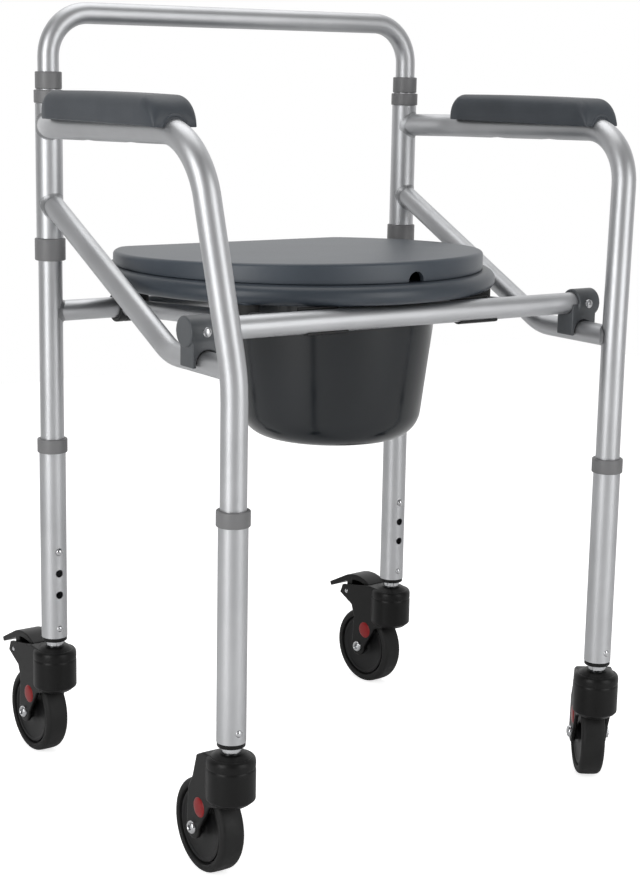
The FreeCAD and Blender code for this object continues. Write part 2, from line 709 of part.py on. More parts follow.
def seat_ring():
    ring = seat_blank(ring_radius, ring_centre_y, seat_rear_y, ring_bottom, ring_top)
    ring = ring.makeFillet(seat_edge_round, top_edges(ring, ring_top, 10))
    pocket = seat_blank(ring_radius, ring_centre_y, seat_rear_y, ring_bottom - 1, ring_top - seat_shell - 2,
                        seat_shell + 1.5)
    hole_radius_top = bucket_top_radius + bucket_clearance
    core = cylinder(flange_radius + 6, V(0, bucket_centre_y, 0), Z_AXIS, 700)
    pocket = pocket.cut(core)
    for side in (-1, 1):
        for y in (foot_front_y, foot_rear_y):
            pocket = pocket.cut(cylinder(foot_radius, V(side * rail_offset, y, 0), Z_AXIS, 700))
    ring = ring.cut(pocket)
    ring = ring.cut(cylinder(hole_radius_top, V(0, bucket_centre_y, 0), Z_AXIS, 700))
    recess_floor = V(0, bucket_centre_y, ring_top - flange_recess)
    ring = ring.cut(cylinder(flange_radius + flange_slack, recess_floor, Z_AXIS, 20))
    for side in (-1, 1):
        x = side * hinge_offset
        for ear_side in (-1, 1):
            ear_x = x + ear_side * (hinge_half_length + hinge_ear / 2 + slide_gap / 2)
            half = (hinge_ear - slide_gap) / 2
            low = hinge_height - hinge_barrel_radius
            high = hinge_height + hinge_barrel_radius - 1
            ear = box(ear_x - half, ear_x + half, seat_rear_y - 8, hinge_y, low, high)
            eye = cylinder(hinge_barrel_radius, V(ear_x - half, hinge_y, hinge_height), X_AXIS, 2 * half)
            ring = ring.fuse([ear, eye])
        ring = ring.cut(cylinder(hinge_pin_radius, V(x - 60, hinge_y, hinge_height), X_AXIS, 120))
        half_room = hinge_half_length + slide_gap
        room_start = V(x - half_room, hinge_y, hinge_height)
        room = cylinder(hinge_barrel_radius + hinge_room, room_start, X_AXIS, 2 * half_room)
        ring = ring.cut(room)
        for y in (foot_front_y, foot_rear_y):
            bolt = cylinder(seat_bolt_radius, V(side * rail_offset, y, 0), Z_AXIS, ring_bottom + 8)
            ring = ring.cut(bolt)
    return max(ring.removeSplitter().Solids, key=lambda solid: solid.Volume)


def sloping_slab(low, front_high, rear_high, front_y, rear_y):
    """Slab with a level underside and a top that falls toward the rear."""
    x = -ring_radius
    corners = [V(x, front_y, low), V(x, rear_y, low), V(x, rear_y, rear_high), V(x, front_y, front_high)]
    return Part.Face(Part.makePolygon(corners + [corners[0]])).extrude(V(2 * ring_radius, 0, 0))


def lid():
    low = ring_top + lid_gap
    front = lid_centre_y - lid_radius
    rear = seat_rear_y + 1
    front_top = low + lid_front_thickness
    rear_top = low + lid_rear_thickness
    body = seat_blank(lid_radius, lid_centre_y, rear, low, front_top + 1)
    body = body.common(sloping_slab(low, front_top, rear_top, front, rear)).Solids[0]
    rim = [edge for edge in body.Edges if edge.BoundBox.ZMin > rear_top - 0.1]
    body = body.makeFillet(lid_round, rim)
    pocket = seat_blank(lid_radius, lid_centre_y, rear, low - 1, front_top + 1, seat_shell + 2)
    pocket = pocket.common(sloping_slab(low - 1, front_top - seat_shell, rear_top - seat_shell, front, rear))
    body = body.cut(pocket)
    notch_axis = low + finger_notch_depth - finger_notch_radius
    body = body.cut(cylinder(finger_notch_radius, V(finger_notch_x, front - 20, notch_axis), Y_AXIS, 30))
    for side in (-1, 1):
        x = side * hinge_offset
        lug = box(x - hinge_half_length, x + hinge_half_length, rear - 8, hinge_y, hinge_height, low + 6)
        barrel = cylinder(hinge_barrel_radius, V(x - hinge_half_length, hinge_y, hinge_height), X_AXIS,
                          2 * hinge_half_length)
        arm = box(x - hinge_half_length, x + hinge_half_length, hinge_y - hinge_barrel_radius, hinge_y,
                  hinge_height, low + 6)
        body = body.fuse([barrel, arm])
        body = body.fuse(lug.common(box(-300, 300, rear - 8, hinge_y, low, low + 6)))
        body = body.cut(cylinder(hinge_pin_radius + slide_gap, V(x - 60, hinge_y, hinge_height), X_AXIS, 120))
    return max(body.removeSplitter().Solids, key=lambda solid: solid.Volume)


def bucket_profile(shrink, bottom, top):
    """Turned outline of the bucket as a face, moved inwards by shrink."""
    taper = (bucket_top_radius - bucket_base_radius) / (ring_top - bucket_bottom)
    base = bucket_base_radius - shrink
    rim = bucket_base_radius + taper * (top - bucket_bottom) - shrink
    corners = [V(0, 0, bottom), V(base, 0, bottom), V(rim, 0, top), V(0, 0, top)]
    solid = Part.Face(Part.makePolygon(corners + [corners[0]])).revolve(V(0, 0, 0), Z_AXIS, 360)
    edge = [e for e in solid.Edges if abs(e.BoundBox.ZMax - bottom) < 0.01 and len(e.Vertexes) == 1]
    solid = solid.makeFillet(bucket_corner - shrink, edge)
    solid.translate(V(0, bucket_centre_y, 0))
    return solid


def bucket():
    floor = ring_top - flange_recess + lid_gap
    flange = cylinder(flange_radius, V(0, bucket_centre_y, floor), Z_AXIS, flange_thickness)
    flange = flange.makeFillet(1.0, [edge for edge in flange.Edges if len(edge.Vertexes) == 1])
    outer = bucket_profile(0.0, bucket_bottom, floor + 1)
    inner = bucket_profile(bucket_wall, bucket_bottom + bucket_wall, floor + 30)
    return outer.fuse(flange).cut(inner).removeSplitter().Solids[0]


def build():
    os.makedirs("parts", exist_ok=True)
    export("rear_posts", rear_posts())
    export("rear_crossbar", rear_crossbar())
    export("backrest_tube", backrest_tube())
    export("backrest_collars", backrest_collars())
    export("pivot_collars", pivot_collars())
    side_pieces = {"side_post": side_post(), "arm_tube": arm_tube(), "brace_tube": brace_tube(),
                   "arm_pad": arm_pad()}
    for side_name, side in SIDES.items():
        for name, shape in side_pieces.items():
            export(name + "_" + side_name, [sided(shape, side)])
    export("front_crossbar", front_crossbar())
    bracket = snap_bracket()
    export("snap_brackets", [bracket, mirrored(bracket)])
    export("seat_rails", seat_rails())
    export("seat_clamps", seat_clamps())
    export("seat_feet", seat_feet())
    export("seat_hardware", seat_hardware())
    export("seat_ring", [seat_ring()])
    export("lid", [lid()])
    export("bucket", [bucket()])
    housings = {1: caster_housing(True), -1: caster_housing(False)}
    caster_pieces = {"caster_stem": [caster_stem()], "caster_axle": [axle_bolt()], "caster_caps": red_caps(),
                     "wheel_hub": [wheel_hub()], "wheel_tyre": [wheel_tyre()]}
    for leg, (x_side, y_side) in LEGS.items():
        export("lower_leg_" + leg, [lower_leg(x_side, y_side)])
        export("leg_fittings_" + leg, leg_fittings(x_side, y_side))
        export("snap_button_" + leg, [snap_button(x_side, y_side)])
        export("caster_housing_" + leg, [placed(housings[y_side], leg)])
        for name, solids in caster_pieces.items():
            export(name + "_" + leg, [placed(solid, leg) for solid in solids])
        if y_side > 0:
            export("brake_pedal_" + leg, [placed(brake_pedal(), leg)])


build()
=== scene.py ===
# %% [markdown]
# # A folding commode chair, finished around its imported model
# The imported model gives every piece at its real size, in metres, with the floor at zero and the open
# front of the chair toward -Y. This lesson keeps that model as the skeleton and gives each visible
# surface its real shape and finish: drawn aluminium tube, moulded nylon and polyethylene, skinned foam,
# rubber and plated steel. Nothing here moves or resizes the model itself.

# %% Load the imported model
import json
import math

import bmesh
import bpy
from mathutils import Matrix, Vector


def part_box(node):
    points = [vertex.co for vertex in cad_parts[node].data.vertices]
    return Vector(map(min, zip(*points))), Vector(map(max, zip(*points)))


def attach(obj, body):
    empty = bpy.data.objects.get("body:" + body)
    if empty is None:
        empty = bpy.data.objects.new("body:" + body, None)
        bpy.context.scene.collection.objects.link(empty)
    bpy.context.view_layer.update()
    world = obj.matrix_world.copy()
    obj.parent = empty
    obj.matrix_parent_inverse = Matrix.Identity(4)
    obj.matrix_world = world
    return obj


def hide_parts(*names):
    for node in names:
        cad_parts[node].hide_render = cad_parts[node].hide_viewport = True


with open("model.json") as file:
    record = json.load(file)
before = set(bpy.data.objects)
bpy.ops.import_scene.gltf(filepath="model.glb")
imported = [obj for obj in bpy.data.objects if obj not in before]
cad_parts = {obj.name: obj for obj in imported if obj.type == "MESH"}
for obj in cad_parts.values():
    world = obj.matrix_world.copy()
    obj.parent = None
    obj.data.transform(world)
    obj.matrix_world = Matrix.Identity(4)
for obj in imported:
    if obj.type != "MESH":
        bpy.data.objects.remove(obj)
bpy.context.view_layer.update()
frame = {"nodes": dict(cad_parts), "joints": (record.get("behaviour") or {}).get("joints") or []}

# %% [markdown]
# ## Sizes shared by many pieces
# A workshop drawing of such a chair is in millimetres, so the pieces are drawn in millimetres here and
# scaled once, when they are finished. The places are read from the model's own boxes, so that the look
# follows the model if it changes.

# %% Places and tube sizes
MM = 0.001
MERGE_MM = 0.004          # vertices closer than this are one


def box_mm(node):
    """Lowest and highest corner of a node of the model, in millimetres."""
    low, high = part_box(node)
    return low / MM, high / MM


def middle(node):
    low, high = box_mm(node)
    return (low + high) / 2


LEG_CODES = ("rl", "rr", "fl", "fr")
SIDES = {"left": -1, "right": 1}
leg_axis = {leg: middle("lower_leg_" + leg) for leg in LEG_CODES}
half_width = leg_axis["rr"].x
half_depth = leg_axis["rr"].y
frame_radius = 12.5
sleeve_radius = 14.0
bar_radius = 11.0
print("leg axes at x +-%.0f, y +-%.0f mm" % (half_width, half_depth))

# %% [markdown]
# ## Helpers that turn a drawing into a piece
# Every piece ends the same way: doubled corners are merged, faces are pointed outwards, edges sharper
# than a set angle stay crisp, and the mesh is scaled to metres and hung on the body that it moves with.

# %% Finish a drawn mesh as a piece
def mesh_from(name, bm):
    """Mesh data from a drawing, which is used up."""
    mesh = bpy.data.meshes.new(name)
    bm.to_mesh(mesh)
    bm.free()
    return mesh


def placed(name, data):
    """New object in the scene."""
    thing = bpy.data.objects.new(name, data)
    bpy.context.scene.collection.objects.link(thing)
    return thing


def finish(name, bm, body, material, stands_for=(), crease=38.0):
    """Millimetre mesh to a named piece that rides on a body and may stand for nodes of the model."""
    bmesh.ops.remove_doubles(bm, verts=bm.verts, dist=MERGE_MM)
    bmesh.ops.recalc_face_normals(bm, faces=bm.faces)
    for face in bm.faces:
        face.smooth = True
    for edge in bm.edges:
        edge.smooth = edge.calc_face_angle(math.pi) < math.radians(crease)
    bmesh.ops.scale(bm, vec=(MM, MM, MM), verts=bm.verts)
    return hang(placed(name, mesh_from(name, bm)), body, material, stands_for)


def hang(piece, body, material, stands_for=()):
    piece.data.materials.clear()
    piece.data.materials.append(material)
    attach(piece, body)
    if stands_for:
        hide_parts(*stands_for)
    print("made", piece.name, "with", len(piece.data.polygons), "faces on", body)
    return piece


def soften(bm, width, segments=3, angle=30.0):
    """Round every edge that is sharper than an angle."""
    bmesh.ops.remove_doubles(bm, verts=bm.verts, dist=MERGE_MM)
    bmesh.ops.recalc_face_normals(bm, faces=bm.faces)
    limit = math.radians(angle)
    edges = [edge for edge in bm.edges if edge.is_manifold and edge.calc_face_angle() > limit]
    bmesh.ops.bevel(bm, geom=edges, offset=width, segments=segments, profile=0.5, affect="EDGES",
                    clamp_overlap=True, material=-1)


def new_verts(made):
    return [item for item in made if isinstance(item, bmesh.types.BMVert)]


def ring_edges(verts):
    """Edges that join vertices of one ring, in the order of those vertices."""
    members = set(verts)
    edges = [edge for vert in verts for edge in vert.link_edges if edge.other_vert(vert) in members]
    return list(dict.fromkeys(edges))


# %% [markdown]
# ## Turned pieces
# Collars, caps, wheels, bolts and the bucket are round, and on the real chair most come from round
# moulds or a lathe. The same idea works here: draw half of the outline once and spin it about an axis.

# %% Spin an outline about an upright axis
def turned(profile, steps=96, closed=False):
    """Mesh spun about Z from (radius, height) points; a closed outline makes a ring."""
    bm = bmesh.new()
    line = [bm.verts.new((radius, 0, height)) for radius, height in profile]
    edges = [bm.edges.new(pair) for pair in zip(line, line[1:])]
    if closed:
        edges.append(bm.edges.new((line[-1], line[0])))
    bmesh.ops.spin(bm, geom=line + edges, cent=(0, 0, 0), axis=(0, 0, 1), angle=2 * math.pi, steps=steps,
                   use_merge=True)
    bmesh.ops.remove_doubles(bm, verts=bm.verts, dist=MERGE_MM)
    return bm


def arc(centre_r, centre_z, radius, start, end, steps=6):
    """Points of a rounded corner in an outline, with angles in degrees."""
    angles = [math.radians(start + (end - start) * step / steps) for step in range(steps + 1)]
    return [(centre_r + radius * math.cos(a), centre_z + radius * math.sin(a)) for a in angles]


def moved(bm, place):
    bmesh.ops.transform(bm, matrix=place, verts=bm.verts)
    return bm


def joined(*parts):
    """One mesh from several; the others are used up."""
    whole = bmesh.new()
    for part in parts:
        mesh = mesh_from("part", part)
        whole.from_mesh(mesh)
        bpy.data.meshes.remove(mesh)
    return whole


# %% [markdown]
# ## Tubes
# The frame is bent from drawn tube. A bending machine makes straight runs and round bends, and a bmesh
# can follow the same steps: a ring of vertices is extruded along a run and spun round each bend. At a
# welded joint the end of the tube is coped, which means cut to lie against the round post.

# %% Draw a bent tube, run by run
def tube_ring(bm, centre, direction, radius, sides=40):
    turn = direction.to_track_quat("Z", "Y").to_matrix().to_4x4()
    made = bmesh.ops.create_circle(bm, cap_ends=False, segments=sides, radius=radius,
                                   matrix=Matrix.Translation(centre) @ turn)
    return made["verts"]


def run(bm, ring, shift, step=12.0):
    """Extrude a ring along a straight run in short steps."""
    count = max(1, round(shift.length / step))
    for _ in range(count):
        made = bmesh.ops.extrude_edge_only(bm, edges=ring_edges(ring))["geom"]
        ring = new_verts(made)
        bmesh.ops.translate(bm, vec=shift / count, verts=ring)
    return ring


def bent_tube(points, bends, radius):
    """Tube along points, open at both ends, with a bend radius at each inner point. Returns mesh and end
    rings.
    """
    bm = bmesh.new()
    here = points[0]
    first = ring = tube_ring(bm, here, (points[1] - points[0]).normalized(), radius)
    for before, corner, after, bend in zip(points, points[1:], points[2:], bends):
        a = (corner - before).normalized()
        b = (after - corner).normalized()
        turn = a.angle(b)
        reach = bend * math.tan(turn / 2)
        start = corner - a * reach
        ring = run(bm, ring, start - here)
        axis = a.cross(b).normalized()
        centre = start + axis.cross(a).normalized() * bend
        steps = max(3, round(math.degrees(turn) / 5))
        made = bmesh.ops.spin(bm, geom=ring_edges(ring), cent=centre, axis=axis, angle=turn, steps=steps)
        ring = new_verts(made["geom_last"])
        here = corner + b * reach
    ring = run(bm, ring, points[-1] - here)
    return bm, first, ring


def saddle(verts, centre, direction, post_radius, advance=0.0):
    """Slide ring vertices along the tube until they lie on an upright post whose axis passes centre."""
    flat = Vector((direction.x, direction.y, 0))
    slope = flat.length
    flat.normalize()
    across = Vector((0, 0, 1)).cross(flat)
    for vert in verts:
        radial = vert.co - centre
        radial -= direction * radial.dot(direction)
        side = max(-0.985 * post_radius, min(0.985 * post_radius, radial.dot(across)))
        radial += across * (side - radial.dot(across))
        slide = (math.sqrt(post_radius ** 2 - side ** 2) - radial.dot(flat)) / slope
        vert.co = centre + radial + direction * (slide + advance)


def cap_ends(bm, *rings):
    for ring in rings:
        bmesh.ops.edgeloop_fill(bm, edges=ring_edges(ring))


# %% [markdown]
# ## Lofts
# Pieces that are neither round nor bent tube are drawn as sections. The first section is a closed loop;
# it is extruded again and again, and each new loop is laid on the next section. Extruding keeps every
# vertex in line with the one before it, so the surface can't twist.

# %% Loft through sections
def lofted(sections, closed=False):
    """Mesh through sections that all have the same number of points."""
    bm = bmesh.new()
    ring = [bm.verts.new(point) for point in sections[0]]
    first = edges = [bm.edges.new(pair) for pair in zip(ring, ring[1:] + ring[:1])]
    for points in sections[1:] + (sections[:1] if closed else []):
        fresh = set(new_verts(bmesh.ops.extrude_edge_only(bm, edges=edges)["geom"]))
        ring = [next(edge.other_vert(vert) for edge in vert.link_edges if edge.other_vert(vert) in fresh)
                for vert in ring]
        for vert, point in zip(ring, points):
            vert.co = point
        edges = ring_edges(ring)
    if closed:
        bmesh.ops.remove_doubles(bm, verts=bm.verts, dist=MERGE_MM)
    else:
        bmesh.ops.edgeloop_fill(bm, edges=first)
        bmesh.ops.edgeloop_fill(bm, edges=edges)
    return bm


# %% [markdown]
# ## Weld fillets
# A fillet of weld metal is a loft as well: saddle-shaped rings, wide at the post and narrow on the tube,
# with a last ring hidden inside the tube so that the bead is closed.

# %% Weld fillet
def weld(centre, direction, tube_radius, post_radius, throat=2.6):
    """Concave fillet between a tube and the upright post that it is coped to."""
    rings = []
    for grow, advance in ((1.0, 0.0), (0.42, 0.16), (0.13, 0.5), (0.02, 1.0)):
        rings.append((tube_radius + throat * grow, throat * advance, post_radius + 0.04))
    rings.append((tube_radius - 0.6, 0.0, post_radius - 0.5))
    sections = []
    scratch = bmesh.new()
    for radius, advance, reach in rings:
        ring = tube_ring(scratch, centre, direction, radius)
        saddle(ring, centre, direction, reach, advance)
        sections.append([vert.co.copy() for vert in ring])
    scratch.free()
    return lofted(sections, closed=True)


# %% [markdown]
# ## Colours and nodes
# Colours are written as the sRGB hex values a paint chart gives, and one function makes them linear.
# One more function adds a shader node with its settings and links, so each material reads as a recipe.

# %% Colour and node helpers
def linear(hex_colour, alpha=1.0):
    channels = []
    for start in (1, 3, 5):
        value = int(hex_colour[start:start + 2], 16) / 255
        channels.append(value / 12.92 if value <= 0.04045 else ((value + 0.055) / 1.055) ** 2.4)
    return (*channels, alpha)


def add(tree, kind, inputs=None, **settings):
    """Add one node; inputs maps a socket to a value or to another node's output."""
    made = tree.nodes.new("ShaderNode" + kind)
    for setting, value in settings.items():
        setattr(made, setting, value)
    for socket, value in (inputs or {}).items():
        if isinstance(value, bpy.types.NodeSocket):
            tree.links.new(value, made.inputs[socket])
        else:
            made.inputs[socket].default_value = value
    return made


def blank_material(name):
    material = bpy.data.materials.new(name)
    material.use_nodes = True
    material.node_tree.nodes.clear()
    return material, material.node_tree


def tint(tree, factor, low_colour, high_colour):
    """Colour that drifts between two hex values with a 0 to 1 factor."""
    mix = add(tree, "Mix", data_type="RGBA")
    tree.links.new(factor, mix.inputs["Factor"])
    mix.inputs["A"].default_value = linear(low_colour)
    mix.inputs["B"].default_value = linear(high_colour)
    return mix.outputs["Result"]


def drift(tree, coordinates, size_mm, detail=3.0):
    """Cloudy 0 to 1 value whose patches are about one size across."""
    noise = add(tree, "TexNoise", {"Vector": coordinates, "Scale": 1 / (size_mm * MM), "Detail": detail})
    spread = add(tree, "MapRange", {"Value": noise.outputs["Fac"], "From Min": 0.34, "From Max": 0.66})
    return spread.outputs["Result"]


# %% [markdown]
# ## Anodised aluminium tube
# The frame is drawn aluminium tube with a satin anodised skin. Drawing leaves fine lines along the
# tube, and the etch before anodising makes the shine soft, so a highlight is a long pale band with no
# hard edge. Real die lines are about 0.2 mm apart; they are drawn 1 mm apart here so that they show.

# %% Anodised aluminium, drawn along one axis
DIE_LINE_MM = 1.0
LINE_LENGTH_MM = 90.0


def anodised_aluminium(grain_axis):
    material, tree = blank_material("anodised_aluminium_drawn_along_" + grain_axis.lower())
    place = add(tree, "TexCoord").outputs["Object"]
    stretch = {axis: 1 / (DIE_LINE_MM * MM) for axis in "XYZ"}
    stretch[grain_axis] = 1 / (LINE_LENGTH_MM * MM)
    lined = add(tree, "Mapping", {"Vector": place, "Scale": (stretch["X"], stretch["Y"], stretch["Z"])})
    lines = add(tree, "TexNoise", {"Vector": lined.outputs["Vector"], "Scale": 1.0, "Detail": 2.0})
    clouds = drift(tree, place, 60.0)
    colour = tint(tree, clouds, "#bebfc1", "#c6c7c9")
    dull = add(tree, "MapRange", {"Value": lines.outputs["Fac"], "To Min": 0.40, "To Max": 0.52})
    bump = add(tree, "Bump", {"Height": lines.outputs["Fac"], "Strength": 0.10, "Distance": 0.0001})
    shader = add(tree, "BsdfPrincipled", {"Base Color": colour, "Metallic": 1.0,
                                         "Roughness": dull.outputs["Result"],
                                         "Normal": bump.outputs["Normal"]})
    add(tree, "OutputMaterial", {"Surface": shader.outputs["BSDF"]})
    return material


ALUMINIUM = {axis: anodised_aluminium(axis) for axis in "XYZ"}
print("aluminium finishes:", [material.name for material in ALUMINIUM.values()])


# %% [markdown]
# ## Weld metal
# A TIG weld on such a frame is ground and brushed, then anodised with the tube. It comes out a little
# greyer and rougher than the drawn tube, with soft ripples about 1.5 mm apart.

# %% Brushed weld metal
def brushed_weld():
    material, tree = blank_material("tig_weld_brushed_and_anodised")
    place = add(tree, "TexCoord").outputs["Object"]
    ripples = drift(tree, place, 1.5, 1.0)
    colour = tint(tree, drift(tree, place, 6.0), "#98999b", "#a7a8aa")
    bump = add(tree, "Bump", {"Height": ripples, "Strength": 0.25, "Distance": 0.0002})
    shader = add(tree, "BsdfPrincipled", {"Base Color": colour, "Metallic": 1.0, "Roughness": 0.46,
                                         "Normal": bump.outputs["Normal"]})
    add(tree, "OutputMaterial", {"Surface": shader.outputs["BSDF"]})
    return material


WELD = brushed_weld()


# %% [markdown]
# ## Moulded plastics
# Most other pieces are injection moulded. What the eye reads is the colour, how sharp the shine is, and
# the fine grain that the steel mould was spark-eroded with. One recipe serves them all: a grain of real
# size in the bump and the shine, and a slow drift of colour from handling and uneven cooling.

# %% One recipe for moulded plastic
def moulded_plastic(name, low_colour, high_colour, roughness, grain_mm, grain_depth_mm, coat=0.0,
                    reflect=0.5):
    material, tree = blank_material(name)
    place = add(tree, "TexCoord").outputs["Object"]
    grain = add(tree, "TexNoise", {"Vector": place, "Scale": 1 / (grain_mm * MM), "Detail": 2.0})
    handling = drift(tree, place, 70.0)
    colour = tint(tree, handling, low_colour, high_colour)
    shine = add(tree, "MapRange", {"Value": grain.outputs["Fac"], "To Min": roughness * 0.86,
                                   "To Max": roughness * 1.14})
    bump = add(tree, "Bump", {"Height": grain.outputs["Fac"], "Strength": 0.35,
                              "Distance": grain_depth_mm * MM})
    shader = add(tree, "BsdfPrincipled", {"Base Color": colour, "Roughness": shine.outputs["Result"],
                                         "IOR": 1.5, "Specular IOR Level": reflect,
                                         "Coat Weight": coat, "Coat Roughness": 0.12,
                                         "Normal": bump.outputs["Normal"]})
    add(tree, "OutputMaterial", {"Surface": shader.outputs["BSDF"]})
    return material


# Glass-filled nylon collars: mid grey, a dry satin shine and a fine grain.
COLLAR_NYLON = moulded_plastic("nylon_collar_moulded_grey", "#6c6c6d", "#757576", 0.46, 0.9, 0.05)
# Polyethylene seat and lid: waxy satin, slate grey, almost smooth.
SEAT_PE = moulded_plastic("polyethylene_seat_moulded_slate", "#333a42", "#394048", 0.40, 1.1, 0.03)
LID_PE = moulded_plastic("polyethylene_lid_moulded_slate", "#3d444c", "#434a52", 0.42, 1.1, 0.03)
# Polypropylene bucket from a polished mould: dark and glossy, so it mirrors windows and lamps.
BUCKET_PP = moulded_plastic("polypropylene_bucket_polished", "#0d1216", "#11161b", 0.2, 14.0, 0.02,
                            coat=0.25, reflect=0.35)
# Nylon snap brackets: darker than the collars, slightly worn.
BRACKET_NYLON = moulded_plastic("nylon_bracket_moulded_dark_grey", "#484b4e", "#525558", 0.42, 0.9, 0.05)
CLAMP_NYLON = moulded_plastic("nylon_clamp_moulded_black", "#0f1011", "#151617", 0.42, 0.9, 0.05,
                              reflect=0.35)
CASTER_NYLON = moulded_plastic("nylon_caster_moulded_black", "#060606", "#0b0b0b", 0.40, 0.8, 0.05,
                               reflect=0.25)
HUB_NYLON = moulded_plastic("nylon_hub_moulded_charcoal", "#0b0b0c", "#111112", 0.44, 0.8, 0.05,
                            reflect=0.28)
RED_CAP = moulded_plastic("acetal_cap_moulded_red", "#7a0a0d", "#850f12", 0.3, 4.0, 0.02, reflect=0.3)
FOOT_RUBBER = moulded_plastic("rubber_foot_moulded_black", "#181818", "#202020", 0.7, 0.7, 0.06)
print("moulded finishes ready")

# %% [markdown]
# ## Skinned foam, rubber and plated steel
# The arm pads are self-skinning polyurethane foam: the skin takes a fine leather grain from the mould
# and has a soft, slightly dusty shine. The tyres are thermoplastic rubber, black and nearly matt. Bolts
# and stems are zinc plated, bright with a slight haze.

# %% Foam skin
PAD_GRAIN_MM = 1.3


def skinned_foam():
    material, tree = blank_material("polyurethane_foam_skin_grained")
    place = add(tree, "TexCoord").outputs["Object"]
    cells = add(tree, "TexVoronoi", {"Vector": place, "Scale": 1 / (PAD_GRAIN_MM * MM)}, feature="SMOOTH_F1")
    pores = add(tree, "TexNoise", {"Vector": place, "Scale": 1 / (0.6 * PAD_GRAIN_MM * MM), "Detail": 2.0})
    skin = add(tree, "Math", {0: cells.outputs["Distance"], 1: pores.outputs["Fac"]}, operation="ADD")
    colour = tint(tree, drift(tree, place, 40.0), "#34393f", "#3c4147")
    shine = add(tree, "MapRange", {"Value": pores.outputs["Fac"], "To Min": 0.44, "To Max": 0.58})
    bump = add(tree, "Bump", {"Height": skin.outputs["Value"], "Strength": 0.30, "Distance": 0.00012})
    shader = add(tree, "BsdfPrincipled", {"Base Color": colour, "Roughness": shine.outputs["Result"],
                                         "IOR": 1.5, "Sheen Weight": 0.06, "Sheen Roughness": 0.4,
                                         "Normal": bump.outputs["Normal"]})
    add(tree, "OutputMaterial", {"Surface": shader.outputs["BSDF"]})
    return material


PAD_FOAM = skinned_foam()


# %% Tyre rubber and zinc plate
def tyre_rubber():
    material, tree = blank_material("thermoplastic_rubber_tyre_matt")
    place = add(tree, "TexCoord").outputs["Object"]
    dust = drift(tree, place, 9.0, 4.0)
    colour = tint(tree, dust, "#101010", "#181818")
    grain = add(tree, "TexNoise", {"Vector": place, "Scale": 1 / (0.7 * MM), "Detail": 2.0})
    shine = add(tree, "MapRange", {"Value": dust, "To Min": 0.50, "To Max": 0.66})
    bump = add(tree, "Bump", {"Height": grain.outputs["Fac"], "Strength": 0.3, "Distance": 0.00006})
    shader = add(tree, "BsdfPrincipled", {"Base Color": colour, "Roughness": shine.outputs["Result"],
                                         "IOR": 1.52, "Specular IOR Level": 0.3,
                                         "Normal": bump.outputs["Normal"]})
    add(tree, "OutputMaterial", {"Surface": shader.outputs["BSDF"]})
    return material


def zinc_plate(name, low_colour, high_colour, roughness):
    material, tree = blank_material(name)
    place = add(tree, "TexCoord").outputs["Object"]
    haze = drift(tree, place, 3.0)
    colour = tint(tree, haze, low_colour, high_colour)
    dull = add(tree, "MapRange", {"Value": haze, "To Min": roughness * 0.8, "To Max": roughness * 1.25})
    shader = add(tree, "BsdfPrincipled", {"Base Color": colour, "Metallic": 1.0,
                                         "Roughness": dull.outputs["Result"]})
    add(tree, "OutputMaterial", {"Surface": shader.outputs["BSDF"]})
    return material


TYRE = tyre_rubber()
ZINC = zinc_plate("steel_bolt_zinc_plated", "#bfc0c2", "#cfd0d2", 0.2)
BUTTON_STEEL = zinc_plate("steel_button_polished", "#c4c4c6", "#d0d0d2", 0.14)
print("foam, rubber and steel finishes ready")

# %% [markdown]
# ## Straight tubes keep their modelled shape
# The posts, sleeves, front crossbar, seat rails and lower legs are plain drawn tubes, so the model's own
# surfaces are already right. They only take the finish, with its fine lines running along each tube.

# %% Finish the straight tubes and small parts of the model
def finish_node(node, material):
    thing = frame["nodes"][node]
    thing.data.materials.clear()
    thing.data.materials.append(material)


for node in ["rear_posts", "side_post_left", "side_post_right"] + ["lower_leg_" + leg for leg in LEG_CODES]:
    finish_node(node, ALUMINIUM["Z"])
finish_node("front_crossbar", ALUMINIUM["X"])
finish_node("seat_rails", ALUMINIUM["Y"])
finish_node("seat_feet", FOOT_RUBBER)
for leg in LEG_CODES:
    finish_node("caster_stem_" + leg, ZINC)
print("straight tubes finished")

# %% [markdown]
# ## Arms and front legs in one tube
# Each arm and front leg is a single tube: welded to the pivot sleeve behind, stepped outwards, run level
# under the pad, bent down at the front and eased into the vertical at the knee. It rises a few
# millimetres toward the front. Its rear end is coped to the sleeve and closed by the weld.

# %% Arm tubes
def path(side, points):
    return [Vector((side * x, y, z)) for x, y, z in points]


ARM_REAR_HEIGHT = 690.0
ARM_CORNER_HEIGHT = 691.2
ARM_FRONT_HEIGHT = 697.0
ARM_BENDS = [90.0, 62.0, 260.0]
KNEE_HEIGHT = 480.0
TUBE_END = 226.0
DIMPLE_PLACES = (40, -40)
arm_x = half_width + 26
corner_y = half_depth - 62
arm_front_y = 23 - half_depth
arm_line = [(half_width, half_depth, ARM_REAR_HEIGHT), (arm_x, corner_y, ARM_CORNER_HEIGHT),
            (arm_x, arm_front_y, ARM_FRONT_HEIGHT), (half_width, -half_depth, KNEE_HEIGHT),
            (half_width, -half_depth, TUBE_END)]


def arm_tube(side):
    points = path(side, arm_line)
    bm, rear, low = bent_tube(points, ARM_BENDS, frame_radius)
    direction = (points[1] - points[0]).normalized()
    saddle(rear, points[0], direction, sleeve_radius)
    cap_ends(bm, rear, low)
    for y in DIMPLE_PLACES:
        screw_dimple(bm, Vector((side * arm_x, y, 0)))
    return bm


def screw_dimple(bm, place, reach=8.0, depth=1.5):
    """Press a shallow round dent into the underside of the arm, as a pad screw does."""
    for vert in bm.verts:
        away = Vector((vert.co.x - place.x, vert.co.y - place.y)).length
        if away < reach and vert.co.z < ARM_REAR_HEIGHT:
            vert.co.z += depth * math.cos(away / reach * math.pi / 2) ** 2


for name, side in SIDES.items():
    finish("arm_tube_bent_" + name, arm_tube(side), "side_" + name, ALUMINIUM["Y"],
           ["arm_tube_" + name], crease=50)

